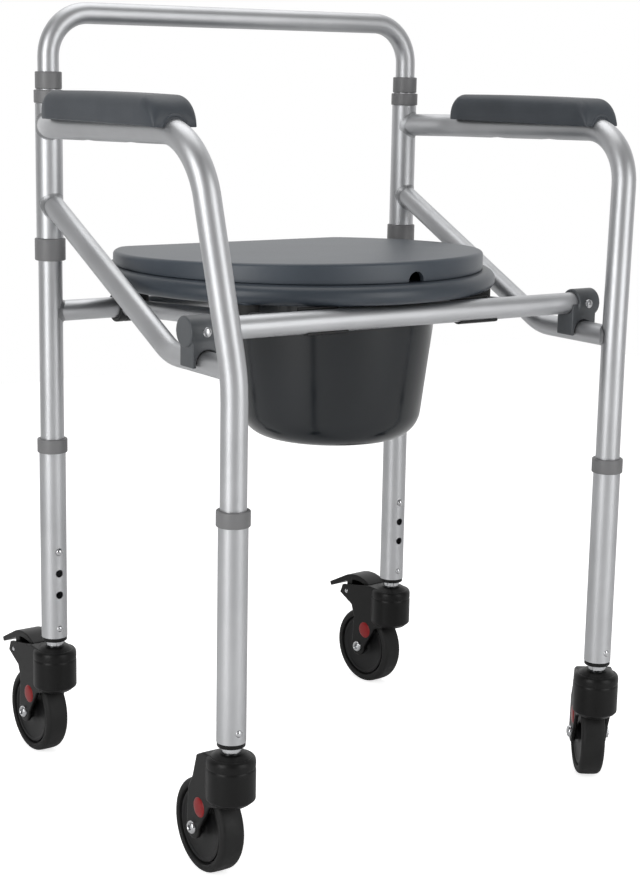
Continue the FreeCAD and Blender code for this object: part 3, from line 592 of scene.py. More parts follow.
# %% [markdown]
# ## Braces
# The brace leaves the sleeve, drops forward at about 26 degrees, levels off beside the seat and is
# welded to the back of the front leg. The seat's snap brackets sit down over its level part.

# %% Brace tubes
BRACE_REAR_HEIGHT = 613.0
BRACE_LEVEL = 488.0
BRACE_CORNER_Y = -73.0
BRACE_BEND = 60.0
brace_line = [(half_width, half_depth, BRACE_REAR_HEIGHT), (half_width, BRACE_CORNER_Y, BRACE_LEVEL),
              (half_width, -half_depth, BRACE_LEVEL)]


def brace_tube(side):
    points = path(side, brace_line)
    bm, rear, front = bent_tube(points, [BRACE_BEND], bar_radius)
    saddle(rear, points[0], (points[1] - points[0]).normalized(), sleeve_radius)
    saddle(front, points[2], Vector((0, 1, 0)), frame_radius)
    cap_ends(bm, rear, front)
    return bm


for name, side in SIDES.items():
    finish("brace_tube_bent_" + name, brace_tube(side), "side_" + name, ALUMINIUM["Y"],
           ["brace_tube_" + name], crease=50)


# %% [markdown]
# ## Backrest bar and rear crossbar
# The backrest is one tube bent twice, and its ends slide down inside the rear posts. The rear crossbar is
# coped and welded between the posts, and the whole seat turns on it.

# %% Backrest and crossbar
BACKREST_BEND = 45.0
backrest_low = box_mm("backrest_tube")[0].z
bar_height = box_mm("backrest_tube")[1].z - bar_radius
backrest_line = path(1, [(-half_width, half_depth, backrest_low), (-half_width, half_depth, bar_height),
                         (half_width, half_depth, bar_height), (half_width, half_depth, backrest_low)])
bm, first, last = bent_tube(backrest_line, [BACKREST_BEND, BACKREST_BEND], bar_radius)
cap_ends(bm, first, last)
finish("backrest_bar", bm, "rear_frame", ALUMINIUM["X"], ["backrest_tube"], crease=50)

pivot_height = middle("rear_crossbar").z
cross_line = path(1, [(-half_width, half_depth, pivot_height), (half_width, half_depth, pivot_height)])
bm, first, last = bent_tube(cross_line, [], bar_radius)
saddle(first, cross_line[0], Vector((1, 0, 0)), frame_radius)
saddle(last, cross_line[1], Vector((-1, 0, 0)), frame_radius)
cap_ends(bm, first, last)
finish("rear_crossbar_coped", bm, "rear_frame", ALUMINIUM["X"], ["rear_crossbar"],
       crease=50)

# %% [markdown]
# ## Welds
# Every coped joint carries a smooth concave fillet of weld metal all round, wide at the post and
# narrow on the tube.

# %% Weld fillets
for name, side in SIDES.items():
    arm = path(side, arm_line)
    brace = path(side, brace_line)
    seams = joined(weld(arm[0], (arm[1] - arm[0]).normalized(), frame_radius, sleeve_radius),
                   weld(brace[0], (brace[1] - brace[0]).normalized(), bar_radius, sleeve_radius),
                   weld(brace[2], Vector((0, 1, 0)), bar_radius, frame_radius))
    finish("welds_" + name, seams, "side_" + name, WELD, crease=60)
seams = joined(weld(cross_line[0], Vector((1, 0, 0)), bar_radius, frame_radius),
               weld(cross_line[1], Vector((-1, 0, 0)), bar_radius, frame_radius))
finish("welds_rear", seams, "rear_frame", WELD, crease=60)

# %% [markdown]
# ## Plastic collars
# Moulded collars mark every place where tubes meet: below and above each pivot sleeve, where the
# backrest enters the posts, and at the top of each lower leg. They have small rounded lips and a bore
# that just clears the tube, so a thin dark line shows round each one.

# %% Collars on the posts
UPPER_COLLAR_RADIUS = 15.2
BACKREST_COLLAR_RADIUS = 13.8
LEG_COLLAR_RADIUS = 16.0
LEG_COLLAR_GRIP = 12
COLLAR_WALL = 2
COLLAR_GAP = 0.4


def collar(outer, bore, low, high, lip=1.2):
    """Ring with rounded edges, as a closed outline to spin."""
    outline = [(bore, low), *arc(outer - lip, low + lip, lip, -90, 0, 5),
               *arc(outer - lip, high - lip, lip, 0, 90, 5), (bore, high)]
    return turned(outline, 72, closed=True)


for side_name, side in SIDES.items():
    post = Matrix.Translation((side * half_width, half_depth, 0))
    low_z = box_mm("pivot_collars")[0].z
    high_z = box_mm("pivot_collars")[1].z
    sleeve = box_mm("side_post_" + side_name)
    pair = joined(moved(collar(sleeve_radius + COLLAR_WALL, frame_radius, low_z, sleeve[0].z - 0.3), post),
                  moved(collar(UPPER_COLLAR_RADIUS, frame_radius, sleeve[1].z + COLLAR_GAP,
                               high_z - COLLAR_GAP), post))
    finish("pivot_collars_" + side_name, pair, "rear_frame", COLLAR_NYLON,
           ["pivot_collars"] if side < 0 else ())
    top_low, top_high = box_mm("backrest_collars")
    top_ring = collar(BACKREST_COLLAR_RADIUS, bar_radius, top_low.z + COLLAR_GAP, top_high.z)
    finish("backrest_collar_" + side_name, moved(top_ring, post), "rear_frame", COLLAR_NYLON,
           ["backrest_collars"] if side < 0 else ())

# %% [markdown]
# ## Leg collars, plugs and rivets
# A grey collar closes the top of each telescopic leg. At the bottom a black plug takes the caster stem,
# and a bright domed rivet through the tube wall keeps the plug in.

# %% Fittings on the lower legs
def leg_plug(low, high):
    outline = [(6.0, low), *arc(12.6, low + 0.9, 0.9, -90, 0, 4), *arc(12.6, high - 0.9, 0.9, 0, 60, 4),
               (12.8, high - 0.2), (12.8, high + 6), (6.0, high + 6)]
    return turned(outline, 64, closed=True)


def rivet():
    """Domed head lying on the tube, drawn upright and then turned to face the front."""
    outline = [(0, 2.1), *arc(0, -2.95, 5.05, 84, 48, 6), (3.6, 0.3), (3.6, -1.0), (0, -1.0)]
    return turned(outline, 32)


FACE_FRONT = Matrix.Rotation(math.radians(90), 4, "X")
for leg in LEG_CODES:
    axis = Matrix.Translation((leg_axis[leg].x, leg_axis[leg].y, 0))
    low, high = box_mm("leg_fittings_" + leg)
    leg_low, leg_high = box_mm("lower_leg_" + leg)
    top_ring = collar(LEG_COLLAR_RADIUS, frame_radius + 0.3, leg_high.z - LEG_COLLAR_GRIP, high.z)
    finish("leg_collar_" + leg, moved(top_ring, axis), "leg_" + leg, COLLAR_NYLON,
           ["leg_fittings_" + leg])
    finish("leg_plug_" + leg, moved(leg_plug(low.z, leg_low.z), axis), "leg_" + leg, CASTER_NYLON)
    spot = Matrix.Translation((leg_axis[leg].x, leg_axis[leg].y - sleeve_radius + 0.5, leg_low.z + 11))
    finish("leg_rivet_" + leg, moved(rivet(), spot @ FACE_FRONT), "leg_" + leg, ZINC)

# %% [markdown]
# ## Snap buttons
# Each leg length is held by a polished button that pops through a hole in the outer tube. It is a small
# dome with a short straight side.

# %% Buttons
def button_dome():
    outline = [(0, 2.5), *arc(0, -2.7, 5.2, 80, 46, 6), (3.85, 0.6), (3.85, -1.2), (0, -1.2)]
    return turned(outline, 36)


for leg in LEG_CODES:
    spot = middle("snap_button_" + leg)
    outward = -1 if leg[0] == "r" else 1
    place = Matrix.Translation((spot.x, leg_axis[leg].y + outward * sleeve_radius, spot.z))
    turn = Matrix.Rotation(math.radians(-90 * outward), 4, "X")
    finish("button_" + leg, moved(button_dome(), place @ turn), "button_" + leg, BUTTON_STEEL,
           ["snap_button_" + leg])

# %% [markdown]
# ## The outline that the ring and the lid share
# Seen from above, both the seat ring and its lid are a large circle cut straight across at the rear, with
# rounded corners. A lofted piece stacks that outline at several heights, each pulled in by some amount,
# and bridges the loops: this is how a moulder reads a section drawing.

# %% Outline loops
FRONT_STEPS = 132
CORNER_STEPS = 9
FLAT_STEPS = 18


def seat_outline(radius, centre_y, rear_y, corner, inset):
    """Points of the outline pulled in by an inset, from the right rear corner round the front."""
    radius, rear_y, corner = radius - inset, rear_y - inset, max(corner - inset, 1.0)
    corner_y = rear_y - corner
    corner_x = math.sqrt((radius - corner) ** 2 - (corner_y - centre_y) ** 2)
    meet = math.atan2(corner_y - centre_y, corner_x)
    points = []
    for step in range(CORNER_STEPS):
        a = math.pi / 2 + (meet - math.pi / 2) * step / CORNER_STEPS
        points.append((corner_x + corner * math.cos(a), corner_y + corner * math.sin(a)))
    for step in range(FRONT_STEPS + 1):
        a = meet - (math.pi + 2 * meet) * step / FRONT_STEPS
        points.append((radius * math.cos(a), centre_y + radius * math.sin(a)))
    points += [(-x, y) for x, y in reversed(points[:CORNER_STEPS])]
    flat = [(-corner_x + 2 * corner_x * step / FLAT_STEPS, rear_y) for step in range(1, FLAT_STEPS)]
    return points + flat


def at_height(points, z):
    return [(x, y, z) for x, y in points]


# %% [markdown]
# ## Seat ring
# The ring is one polyethylene moulding. Its top is flat where the lid rests, rolls over in a generous
# curve, has a short upright band and tucks in below. The bucket's flange sits in a shallow recess round
# the hole. Underneath it is a shell, with a round boss over each rubber foot.

# %% Seat ring
RING_THICKNESS = 20.0
ring_bottom = box_mm("seat_ring")[0].z
ring_top = ring_bottom + RING_THICKNESS
bucket_y = -5.0
RING = (207.0, 58.0, 195.0, 25.0)
ROLL_WIDTH = 11.5
ROLL_HEIGHT = 9.5
BOLT_X = 143.0
BOLT_PLACES = (-70.0, 150.0)


def hole_loop(radius, z):
    """Circle round the bucket's axis with one point for each point of the outline."""
    points = []
    for x, y in seat_outline(*RING, 0.0):
        a = math.atan2(y - bucket_y, x)
        points.append((radius * math.cos(a), bucket_y + radius * math.sin(a), z))
    return points


def ring_loops():
    under = [(10.0, 0.0), (6.6, 0.7), (3.4, 2.4), (1.3, 4.6), (0.25, 7.0), (0.0, 9.0)]
    loops = [at_height(seat_outline(*RING, inset), ring_bottom + up) for inset, up in under]
    for step in range(11):
        a = math.radians(9 * step)
        inset = ROLL_WIDTH * (1 - math.cos(a))
        z = ring_top - ROLL_HEIGHT + ROLL_HEIGHT * math.sin(a)
        loops.append(at_height(seat_outline(*RING, inset), z))
    top, low = ring_top, ring_bottom
    loops += [hole_loop(radius, z) for radius, z in
              ((123.4, top), (122.3, top - 0.3), (121.7, top - 1.1), (121.6, top - 2.4), (114.4, top - 2.4),
               (113.4, top - 2.9), (113.0, top - 4.0), (113.0, low + 0.8), (113.8, low), (118.2, low),
               (119.0, low + 0.8), (119.5, top - 7.5), (121.0, top - 6.0))]
    loops += [at_height(seat_outline(*RING, inset), z) for inset, z in
              ((16.5, top - 6.0), (15.0, top - 7.5), (14.2, low + 0.8), (13.2, low))]
    return loops


def boss():
    return turned([(0, ring_bottom), (10.2, ring_bottom), (11.0, ring_bottom + 0.8), (11.6, ring_top - 4.0),
                   (0, ring_top - 4.0)], 48)


def prism(outline, x0, x1, round_width=0.9):
    """Plate with a side outline in Y and Z, pushed out along X and softened."""
    bm = bmesh.new()
    face = bm.faces.new([bm.verts.new((x0, y, z)) for y, z in outline])
    made = bmesh.ops.extrude_face_region(bm, geom=[face])["geom"]
    bmesh.ops.translate(bm, vec=(x1 - x0, 0, 0), verts=new_verts(made))
    soften(bm, round_width)
    return bm


HINGE_Y = 204.0
hinge_z = ring_bottom + 13.5
HINGE_X = 78.0
BARREL = 6.5
EAR_OFFSET = 20.15
EAR_HALF = 3.85
STRAP_HALF = 16


def ear(x0, x1):
    round_end = arc(HINGE_Y, hinge_z, BARREL, -90, 90, 10)
    return prism([(188.0, hinge_z - BARREL), *round_end, (188.0, hinge_z + BARREL - 1)], x0, x1, 0.8)


def ring_with_ears():
    parts = [lofted(ring_loops(), closed=True)]
    for x in (-BOLT_X, BOLT_X):
        for y in BOLT_PLACES:
            parts.append(moved(boss(), Matrix.Translation((x, y, 0))))
    for side in (-1, 1):
        for ear_side in (-1, 1):
            centre = side * HINGE_X + ear_side * EAR_OFFSET
            parts.append(ear(centre - EAR_HALF, centre + EAR_HALF))
    return joined(*parts)


finish("seat_ring_moulding", ring_with_ears(), "seat_frame", SEAT_PE, ["seat_ring"],
       crease=42)

# %% [markdown]
# ## Lid
# The lid is thicker at the front than at the rear, so its top falls toward the hinges. It has an upright
# side with a small rounded edge, a very slight crown, a hollow underside and an arched finger notch at
# the front. Straps with round barrels carry it on two steel pins.

# %% Lid
LID = (195.0, 60.0, 196.0, 25.0)
LID_FRONT = 20.7
LID_REAR = 11.5
LID_EDGE = 4.2
lid_bottom = ring_top + 0.3


def lid_top(y):
    """Height of the sloping top at a place between front and rear."""
    front = LID[1] - LID[0]
    along = (y - front) / (LID[2] - front)
    return lid_bottom + LID_FRONT + (LID_REAR - LID_FRONT) * along


def sloping(points, below, crown=0.0):
    return [(x, y, lid_top(y) - below + crown) for x, y in points]


def shrunk(points, scale, centre_y=45.0):
    return [(x * scale, centre_y + (y - centre_y) * scale) for x, y in points]


def lid_loops():
    loops = [sloping(seat_outline(*LID, 8.5), 4.5), sloping(seat_outline(*LID, 7.2), 5.4)]
    loops += [at_height(seat_outline(*LID, inset), lid_bottom + up) for inset, up in
              ((6.3, 0.6), (5.6, 0.0), (0.9, 0.0), (0.2, 0.3), (0.0, 1.1), (0.0, 4.0))]
    for step in range(8):
        a = math.radians(90 * step / 7)
        inset = LID_EDGE * (1 - math.cos(a))
        loops.append(sloping(seat_outline(*LID, inset), LID_EDGE * (1 - math.sin(a))))
    inner = seat_outline(*LID, LID_EDGE + 2)
    for scale, crown in ((1.0, 0.0), (0.92, 0.35), (0.8, 0.7), (0.62, 1.0), (0.42, 1.2), (0.22, 1.3),
                         (0.05, 1.3)):
        loops.append(sloping(shrunk(inner, scale), 0.0, crown * 0.6))
    return loops


def hinge_strap(x0, x1):
    top = lid_bottom + 5.6
    outline = [(186.0, lid_bottom + 0.2), (186.0, top), (200.5, top), (206.0, top - 1.6),
               (209.4, hinge_z + 4), *arc(HINGE_Y, hinge_z, BARREL, 10, -170, 12)]
    outline += [(197.6, lid_bottom - 0.4), (196.6, lid_bottom + 0.2)]
    return prism(outline, x0, x1, 0.7)


def lid_straps():
    return joined(*[hinge_strap(side * HINGE_X - STRAP_HALF, side * HINGE_X + STRAP_HALF)
                    for side in (-1, 1)])


lid = finish("lid_moulding", lofted(lid_loops()), "lid", LID_PE, ["lid"], crease=42)
finish("lid_hinge_straps", lid_straps(), "lid", LID_PE, crease=42)

# %% [markdown]
# ## Finger notch
# The notch is a plain half-round arch through the front wall. Cutting it with a boolean is the same as
# the core pin that forms it in the mould.

# %% Cut the finger notch
NOTCH_RADIUS = 9.5
NOTCH_X = 10.0
NOTCH_DEPTH = 24


def cutter(name, bm):
    bmesh.ops.recalc_face_normals(bm, faces=bm.faces)
    bmesh.ops.scale(bm, vec=(MM, MM, MM), verts=bm.verts)
    return placed(name, mesh_from(name, bm))


def applied(piece):
    """Replace a piece's mesh by what its modifiers make of it, and drop the modifiers."""
    graph = bpy.context.evaluated_depsgraph_get()
    mesh = bpy.data.meshes.new_from_object(piece.evaluated_get(graph))
    piece.modifiers.clear()
    piece.data = mesh
    return piece


def cut_away(piece, tool):
    modifier = piece.modifiers.new("cut", "BOOLEAN")
    modifier.operation = "DIFFERENCE"
    modifier.solver = "EXACT"
    modifier.object = tool
    applied(piece)
    bpy.data.objects.remove(tool)


front_y = LID[1] - LID[0]
pin = bmesh.new()
place = Matrix.Translation((NOTCH_X, front_y, lid_bottom + 1.0)) @ FACE_FRONT
bmesh.ops.create_cone(pin, cap_ends=True, segments=48, radius1=NOTCH_RADIUS, radius2=NOTCH_RADIUS,
                      depth=NOTCH_DEPTH, matrix=place)
cut_away(lid, cutter("notch_pin", pin))
print("lid has", len(lid.data.polygons), "faces after the notch")

# %% [markdown]
# ## Holes for the front buttons
# Each front leg tube is drilled where its spring button passes through, so the button can be pressed in.

# %% Drill the front legs
DRILL_RADIUS = 4.3
DRILL_DEPTH = 12

for name, leg in (("left", "fl"), ("right", "fr")):
    button = middle("snap_button_" + leg)
    drill = bmesh.new()
    place = Matrix.Translation((button.x, leg_axis[leg].y + frame_radius, button.z)) @ FACE_FRONT
    bmesh.ops.create_cone(drill, cap_ends=True, segments=40, radius1=DRILL_RADIUS, radius2=DRILL_RADIUS,
                          depth=DRILL_DEPTH, matrix=place)
    tube = bpy.data.objects["arm_tube_bent_" + name]
    cut_away(tube, cutter("drill_" + leg, drill))
    print("drilled", tube.name, "at height", round(button.z, 1))

# %% [markdown]
# ## Bucket
# The bucket is blown or injection moulded polypropylene from a polished mould: a tapered wall, a large
# bottom radius, a shallow foot and a rolled flange that hangs in the ring's recess.

# %% Bucket
bucket_low, bucket_high = box_mm("bucket")
bucket_floor = bucket_low.z
TAPER = 20.5 / 171.5
BUCKET_WALL = 2.6
BUCKET_BASE = 91.0
BUCKET_CORNER = 30
FLANGE_THICKNESS = 2.8
FLANGE_RADIUS = 119.6


def bucket_radius(z):
    return BUCKET_BASE + TAPER * (z - bucket_floor)


def bucket_outline():
    lean = math.degrees(math.atan(TAPER))
    flange_top = bucket_high.z
    flange_low = flange_top - FLANGE_THICKNESS
    corner_z = bucket_floor + BUCKET_CORNER
    corner_r = bucket_radius(corner_z) - BUCKET_CORNER / math.cos(math.radians(lean))
    outer = [(0, bucket_floor + 1.2), (52, bucket_floor + 1.2), (54, bucket_floor + 0.9),
             (56, bucket_floor + 0.2), (58, bucket_floor),
             *arc(corner_r, corner_z, BUCKET_CORNER, -90, -lean, 14)]
    outer += [(bucket_radius(bucket_floor + up), bucket_floor + up) for up in (60, 100, 140)]
    outer += [(bucket_radius(flange_low - 1.4), flange_low - 1.4),
              (bucket_radius(flange_low) + 1.0, flange_low)]
    outer += arc(FLANGE_RADIUS, flange_low + 1.4, 1.4, -90, 90, 8)
    inner_top = bucket_radius(flange_top) - BUCKET_WALL
    outer += [(inner_top + 2.4, flange_top), (inner_top + 0.8, flange_top - 0.6),
              (inner_top, flange_top - 2.2)]
    outer += [(bucket_radius(bucket_floor + up) - BUCKET_WALL, bucket_floor + up) for up in (140, 100, 60)]
    outer += arc(corner_r, corner_z, BUCKET_CORNER - BUCKET_WALL, -lean, -90, 12)
    return outer + [(50, bucket_floor + BUCKET_WALL), (0, bucket_floor + BUCKET_WALL)]


finish("bucket_moulding", moved(turned(bucket_outline(), 160), Matrix.Translation((0, bucket_y, 0))),
       "bucket", BUCKET_PP, ["bucket"], crease=50)

# %% [markdown]
# ## Screws, bolts and pins
# Pan-head screws hold the snap brackets, hinge pins carry the lid, and hex-headed bolts come up
# through the rails into the ring. All are bright zinc plate.

# %% Seat fasteners
def pan_head(radius, height):
    """Domed screw head standing on its face."""
    crown = height * 0.45
    return turned([(0, height), (radius * 0.45, height - crown * 0.12),
                   (radius * 0.75, height - crown * 0.45), (radius * 0.95, height - crown),
                   (radius, height - crown * 1.5), (radius, -1.5), (0, -1.5)], 48)


def pin_bar(radius, length):
    half = length / 2
    return turned([(0, -half), (radius - 0.6, -half), (radius, 0.6 - half), (radius, half - 0.6),
                   (radius - 0.6, half), (0, half)], 36)


def hex_head(radius, height):
    bm = bmesh.new()
    bmesh.ops.create_cone(bm, cap_ends=True, segments=6, radius1=radius, radius2=radius, depth=height,
                          matrix=Matrix.Translation((0, 0, height / 2)))
    soften(bm, 0.5, 2)
    return bm


ALONG_X = Matrix.Rotation(math.radians(90), 4, "Y")
bar_low, bar_high = box_mm("front_crossbar")
bar_y = (bar_low.y + bar_high.y) / 2
bar_z = (bar_low.z + bar_high.z) / 2


def rail_z(y):
    return bar_z + (pivot_height - bar_z) * (y - bar_y) / (half_depth - bar_y)


SCREW_X = 231.0
SCREW_FACE = 14.6          # bracket face ahead of the crossbar's axis
BOLT_DROP = 13.2           # bolt head below the rail's axis


def fasteners():
    parts = []
    for side in (-1, 1):
        screw = Matrix.Translation((side * SCREW_X, bar_y - SCREW_FACE, bar_z)) @ FACE_FRONT
        parts.append(moved(pan_head(4.6, 2.4), screw))
        hinge = Matrix.Translation((side * HINGE_X, HINGE_Y, hinge_z)) @ ALONG_X
        parts.append(moved(pin_bar(3.0, 48.8), hinge))
        for y in BOLT_PLACES:
            low = rail_z(y) - BOLT_DROP
            parts.append(moved(hex_head(5.5, 4.2), Matrix.Translation((side * BOLT_X, y, low))))
            parts.append(moved(pin_bar(3.0, 30.0), Matrix.Translation((side * BOLT_X, y, low + 17))))
    return joined(*parts)


finish("seat_fasteners", fasteners(), "seat_frame", ZINC, ["seat_hardware"], crease=34)

# %% [markdown]
# ## Arm pads
# The pads are foam poured round an insert in a mould, with a skin that forms against the mould wall. Such
# a pad is one crowned form, rounded at both ends, that sits over the tube like a saddle. The tube leaves
# it through an arch in its front face. Sections along its length, bridged, give that form; a rolled lip
# goes round the arch, and small moves hollow the sides a little.
# Cloth simulation is for stuffed covers, and this piece has no cover, so it is shaped directly.

# %% Arm pad sections
pad_low, pad_high = box_mm("arm_pad_right")
PAD_X = (pad_low.x + pad_high.x) / 2
PAD_HALF = (pad_high.x - pad_low.x) / 2 - 0.4
PAD_FRONT, PAD_REAR = pad_low.y + 0.2, pad_high.y - 0.2
PAD_TOP, PAD_UNDER = pad_high.z - 0.3, pad_low.z
GROOVE = 12.6
ARCH_AXIS = 696.0
BEND_START = -100.0
BEND_SPREAD = 110.0
CROWN_RADIUS = 11.0
NOSE = 23.0
TAIL = 21.0


def roll_off(distance, radius):
    """How far a rounded end has dropped at some distance from the end."""
    if distance >= radius:
        return 0.0
    return radius - math.sqrt(max(radius ** 2 - (radius - distance) ** 2, 0.0))


def tube_height(y):
    """Axis of the arm tube under the pad, with its bend down at the front."""
    forward = (corner_y - y) / (corner_y - arm_front_y)
    level = ARM_CORNER_HEIGHT + (ARM_FRONT_HEIGHT - ARM_CORNER_HEIGHT) * forward
    return level - max(0.0, BEND_START - y) ** 2 / BEND_SPREAD


def pad_section(y):
    """Closed outline in X and Z at one place along the pad."""
    top = PAD_TOP - roll_off(y - PAD_FRONT, NOSE) - roll_off(PAD_REAR - y, TAIL)
    top -= 1.0 * ((y + 8) / 115) ** 2
    half = PAD_HALF - 0.15 * roll_off(y - PAD_FRONT, NOSE) - 0.35 * roll_off(PAD_REAR - y, TAIL)
    under = min(PAD_UNDER, top - 1.5)
    crown = min(CROWN_RADIUS, 0.88 * (top - under))
    side = [(half - 0.5 * math.cos(math.pi * step / 28) ** 8, under + (top - crown - under) * step / 14)
            for step in range(15)]
    curve = arc(half - crown, top - crown, crown, 0, 90, 12)[1:]
    cap = [((half - crown) * (1 - step / 8), top) for step in range(1, 8)]
    axis = max(tube_height(y), ARCH_AXIS)
    level = (under - axis) / GROOVE
    mouth = GROOVE * math.sqrt(1 - level ** 2) if abs(level) < 0.98 else 0.2 * GROOVE
    below = [(half - 1.2 - (half - 1.2 - mouth) * step / 4, under) for step in range(1, 5)]
    hollow = []
    for step in range(1, 8):
        x = mouth * math.cos(math.pi / 2 * step / 8)
        z = axis + math.sqrt(max(GROOVE ** 2 - x ** 2, 0.0))
        hollow.append((x, min(max(z, under), top - 1.2)))
    right = side + curve + cap
    right_under = below + hollow
    crest = [(0.0, top)]
    keel = [(0.0, min(max(axis + GROOVE, under), top - 1.2))]
    left = [(-x, z) for x, z in reversed(right)]
    left_under = [(-x, z) for x, z in reversed(right_under)]
    return right + crest + left + [(-x, z) for x, z in right_under] + keel + left_under


def pad_stations():
    """Places along the pad, close together at the ends and where the tube bends down."""
    places = []
    y = PAD_FRONT
    while y < PAD_REAR:
        places.append(y)
        if y < PAD_FRONT + 4 or y > PAD_REAR - 6:
            y += 0.5
        elif y < -70 or y > PAD_REAR - 22:
            y += 1.0
        else:
            y += 4.0
    return places + [PAD_REAR]


def pad_mesh(side):
    bm = lofted([[(side * (PAD_X + x), y, z) for x, z in pad_section(y)] for y in pad_stations()])
    for vert in bm.verts:
        x, y, z = vert.co.x - side * PAD_X, vert.co.y, vert.co.z
        outward = math.copysign(1.0, x) * min(1.0, max(0.0, (abs(x) - PAD_HALF + 8) / 6))
        hollow = 0.7 * math.exp(-((z - PAD_UNDER - 9) / 6) ** 2) * min(1.0, max(0.0, (95 - abs(y - 5)) / 30))
        vert.co.x -= outward * hollow
    bmesh.ops.smooth_vert(bm, verts=bm.verts, factor=0.4, use_axis_x=True, use_axis_y=True, use_axis_z=True)
    return bm


LIP_RADIUS = 1.5


def arch_lip(side):
    """Rolled edge round the arch in the front face, where the tube comes out."""
    sections = []
    for step in range(25):
        turn = math.radians(14 + 152 * step / 24)
        spoke = Vector((math.cos(turn), 0, math.sin(turn)))
        centre = Vector((side * PAD_X, PAD_FRONT + 0.9, ARCH_AXIS)) + spoke * (GROOVE + 0.9)
        sections.append([tuple(centre + spoke * dx + Vector((0, dy, 0)))
                         for dx, dy in arc(0, 0, LIP_RADIUS, 0, 330, 11)])
    return lofted(sections)


for name, side in SIDES.items():
    pad = finish("arm_pad_moulding_" + name, joined(pad_mesh(side), arch_lip(side)), "side_" + name,
                 PAD_FOAM, ["arm_pad_" + name], crease=65)

# %% [markdown]
# ## Moulded brackets, clamps and forks
# Some moulded pieces have the right faces in the model, but every edge there is sharp. A moulding never
# is: the tool maker rounds each edge by about a millimetre so that the plastic flows. A copy of the model's
# piece is rebuilt from small even cells and relaxed, which rounds all its edges alike.

# %% Round the edges of a copy of a model piece
COPY_MERGE = 0.00001       # metres, as the model is


def rounded_copy(name, node, body, material, cell, passes):
    mesh = frame["nodes"][node].data.copy()
    bm = bmesh.new()
    bm.from_mesh(mesh)
    bmesh.ops.remove_doubles(bm, verts=bm.verts, dist=COPY_MERGE)
    bm.to_mesh(mesh)
    bm.free()
    piece = placed(name, mesh)
    cells = piece.modifiers.new("cells", "REMESH")
    cells.mode = "VOXEL"
    cells.voxel_size = cell * MM
    relax = piece.modifiers.new("relax", "SMOOTH")
    relax.factor = 0.5
    relax.iterations = passes
    applied(piece)
    for face in piece.data.polygons:
        face.use_smooth = True
    return hang(piece, body, material, [node])


rounded_copy("snap_bracket_pair", "snap_brackets", "seat_frame", BRACKET_NYLON, 0.7, 4)
rounded_copy("seat_clamp_set", "seat_clamps", "seat_frame", CLAMP_NYLON, 0.7, 3)

# %% [markdown]
# ## Casters
# Each caster is a nylon fork that swivels on a steel stem, with one wheel on a bolt behind the stem. The
# model's wheel hinge gives each caster's resting turn, so every piece is drawn once in the caster's own
# frame, with the wheel toward +Y, and then turned and set under its leg.

# %% Caster places
WHEEL_BACK = 38.0
WHEEL_UP = 46.0


def caster_turn(leg):
    for joint in frame["joints"]:
        if joint["name"] == "wheel_spin_" + leg:
            return math.atan2(-joint["axis"][1], joint["axis"][0])


def caster_place(leg):
    spot = Matrix.Translation((leg_axis[leg].x, leg_axis[leg].y, 0))
    return spot @ Matrix.Rotation(-caster_turn(leg), 4, "Z")


def on_axle(leg, along=0.0, back=WHEEL_BACK, up=WHEEL_UP, side=1):
    """Place for a turned piece whose axis becomes the caster's X axis."""
    spot = Matrix.Translation((along, back, up))
    return caster_place(leg) @ spot @ Matrix.Rotation(math.radians(90 * side), 4, "Y")


def on_cheeks(leg, make, out, back, up):
    """The same small piece on both cheeks of a fork, each facing outwards."""
    return joined(*[moved(make(), on_axle(leg, side * out, back, up, side)) for side in (1, -1)])


print("caster turns in degrees:", {leg: round(math.degrees(caster_turn(leg)), 1) for leg in LEG_CODES})

# %% [markdown]
# ## Wheels
# The tyre is soft black rubber moulded on to a hard hub. Its tread is slightly crowned and its
# shoulders are round, with a clear dark groove where rubber meets hub. The hub face is a nearly flush
# disc with a boss.

# %% Tyre and hub
TYRE_HALF = 12.75


def tyre():
    shoulder_r, shoulder_w, soft = 40.6, TYRE_HALF - 5.2, 5.2
    right = [(37.45, 7.9), (37.6, 11.2), (37.9, 11.9), (38.6, 12.5), (39.8, TYRE_HALF),
             *reversed(arc(shoulder_r, shoulder_w, soft, 0, 90, 8))]
    crown = [(45.93, 5.0), (45.99, 2.0)]
    half = right + crown
    outline = half + [(r, -w) for r, w in reversed(half)]
    return turned(outline, 144, closed=True)


def hub():
    half = [(4.4, 14.2), (8.6, 14.2), (9.0, 13.8), (9.0, 11.4), (10.6, 10.6), (12.2, 9.7), (14.0, 9.4),
            (30.8, 9.5), (31.6, 9.9), (32.2, 10.3), (33.2, 10.5), (34.4, 10.7), (35.2, 10.4), (35.6, 9.6),
            (36.0, 8.2), (37.5, 8.0)]
    outline = half + [(r, -w) for r, w in reversed(half)]
    return turned(outline, 144, closed=True)


for leg in LEG_CODES:
    finish("tyre_" + leg, moved(tyre(), on_axle(leg)), "wheel_" + leg, TYRE,
           ["wheel_tyre_" + leg], crease=50)
    finish("hub_" + leg, moved(hub(), on_axle(leg)), "wheel_" + leg, HUB_NYLON,
           ["wheel_hub_" + leg], crease=40)

# %% [markdown]
# ## Forks, dust caps and red inserts
# The fork is moulded in one piece, with a stepped dust cap round the stem above it. A small red insert
# sits in each cheek, and the axle bolt shows a socket head on one side and a nut on the other.

# %% Fork and its fittings
FORK_HALF = 19.0
CAP_BACK, CAP_UP = 26.0, 70.0


def dust_cap():
    return turned([(6.6, 129.0), (9.4, 129.1), (9.9, 128.7), (10.2, 127.7), (13.0, 127.5), (13.6, 128.0),
                   (16.8, 127.6), (17.4, 126.8), (19.6, 126.5), (20.2, 126.8), (21.8, 126.0), (22.9, 124.4),
                   (23.4, 122.0), (23.4, 117.2), (22.2, 117.0), (6.6, 117.0)], 96, closed=True)


def red_insert():
    return turned([(0, 1.7), (4.6, 1.62), (7.2, 1.35), (8.8, 0.95), (9.6, 0.5), (10.0, -0.1), (10.0, -1.6),
                   (0, -1.6)], 64)


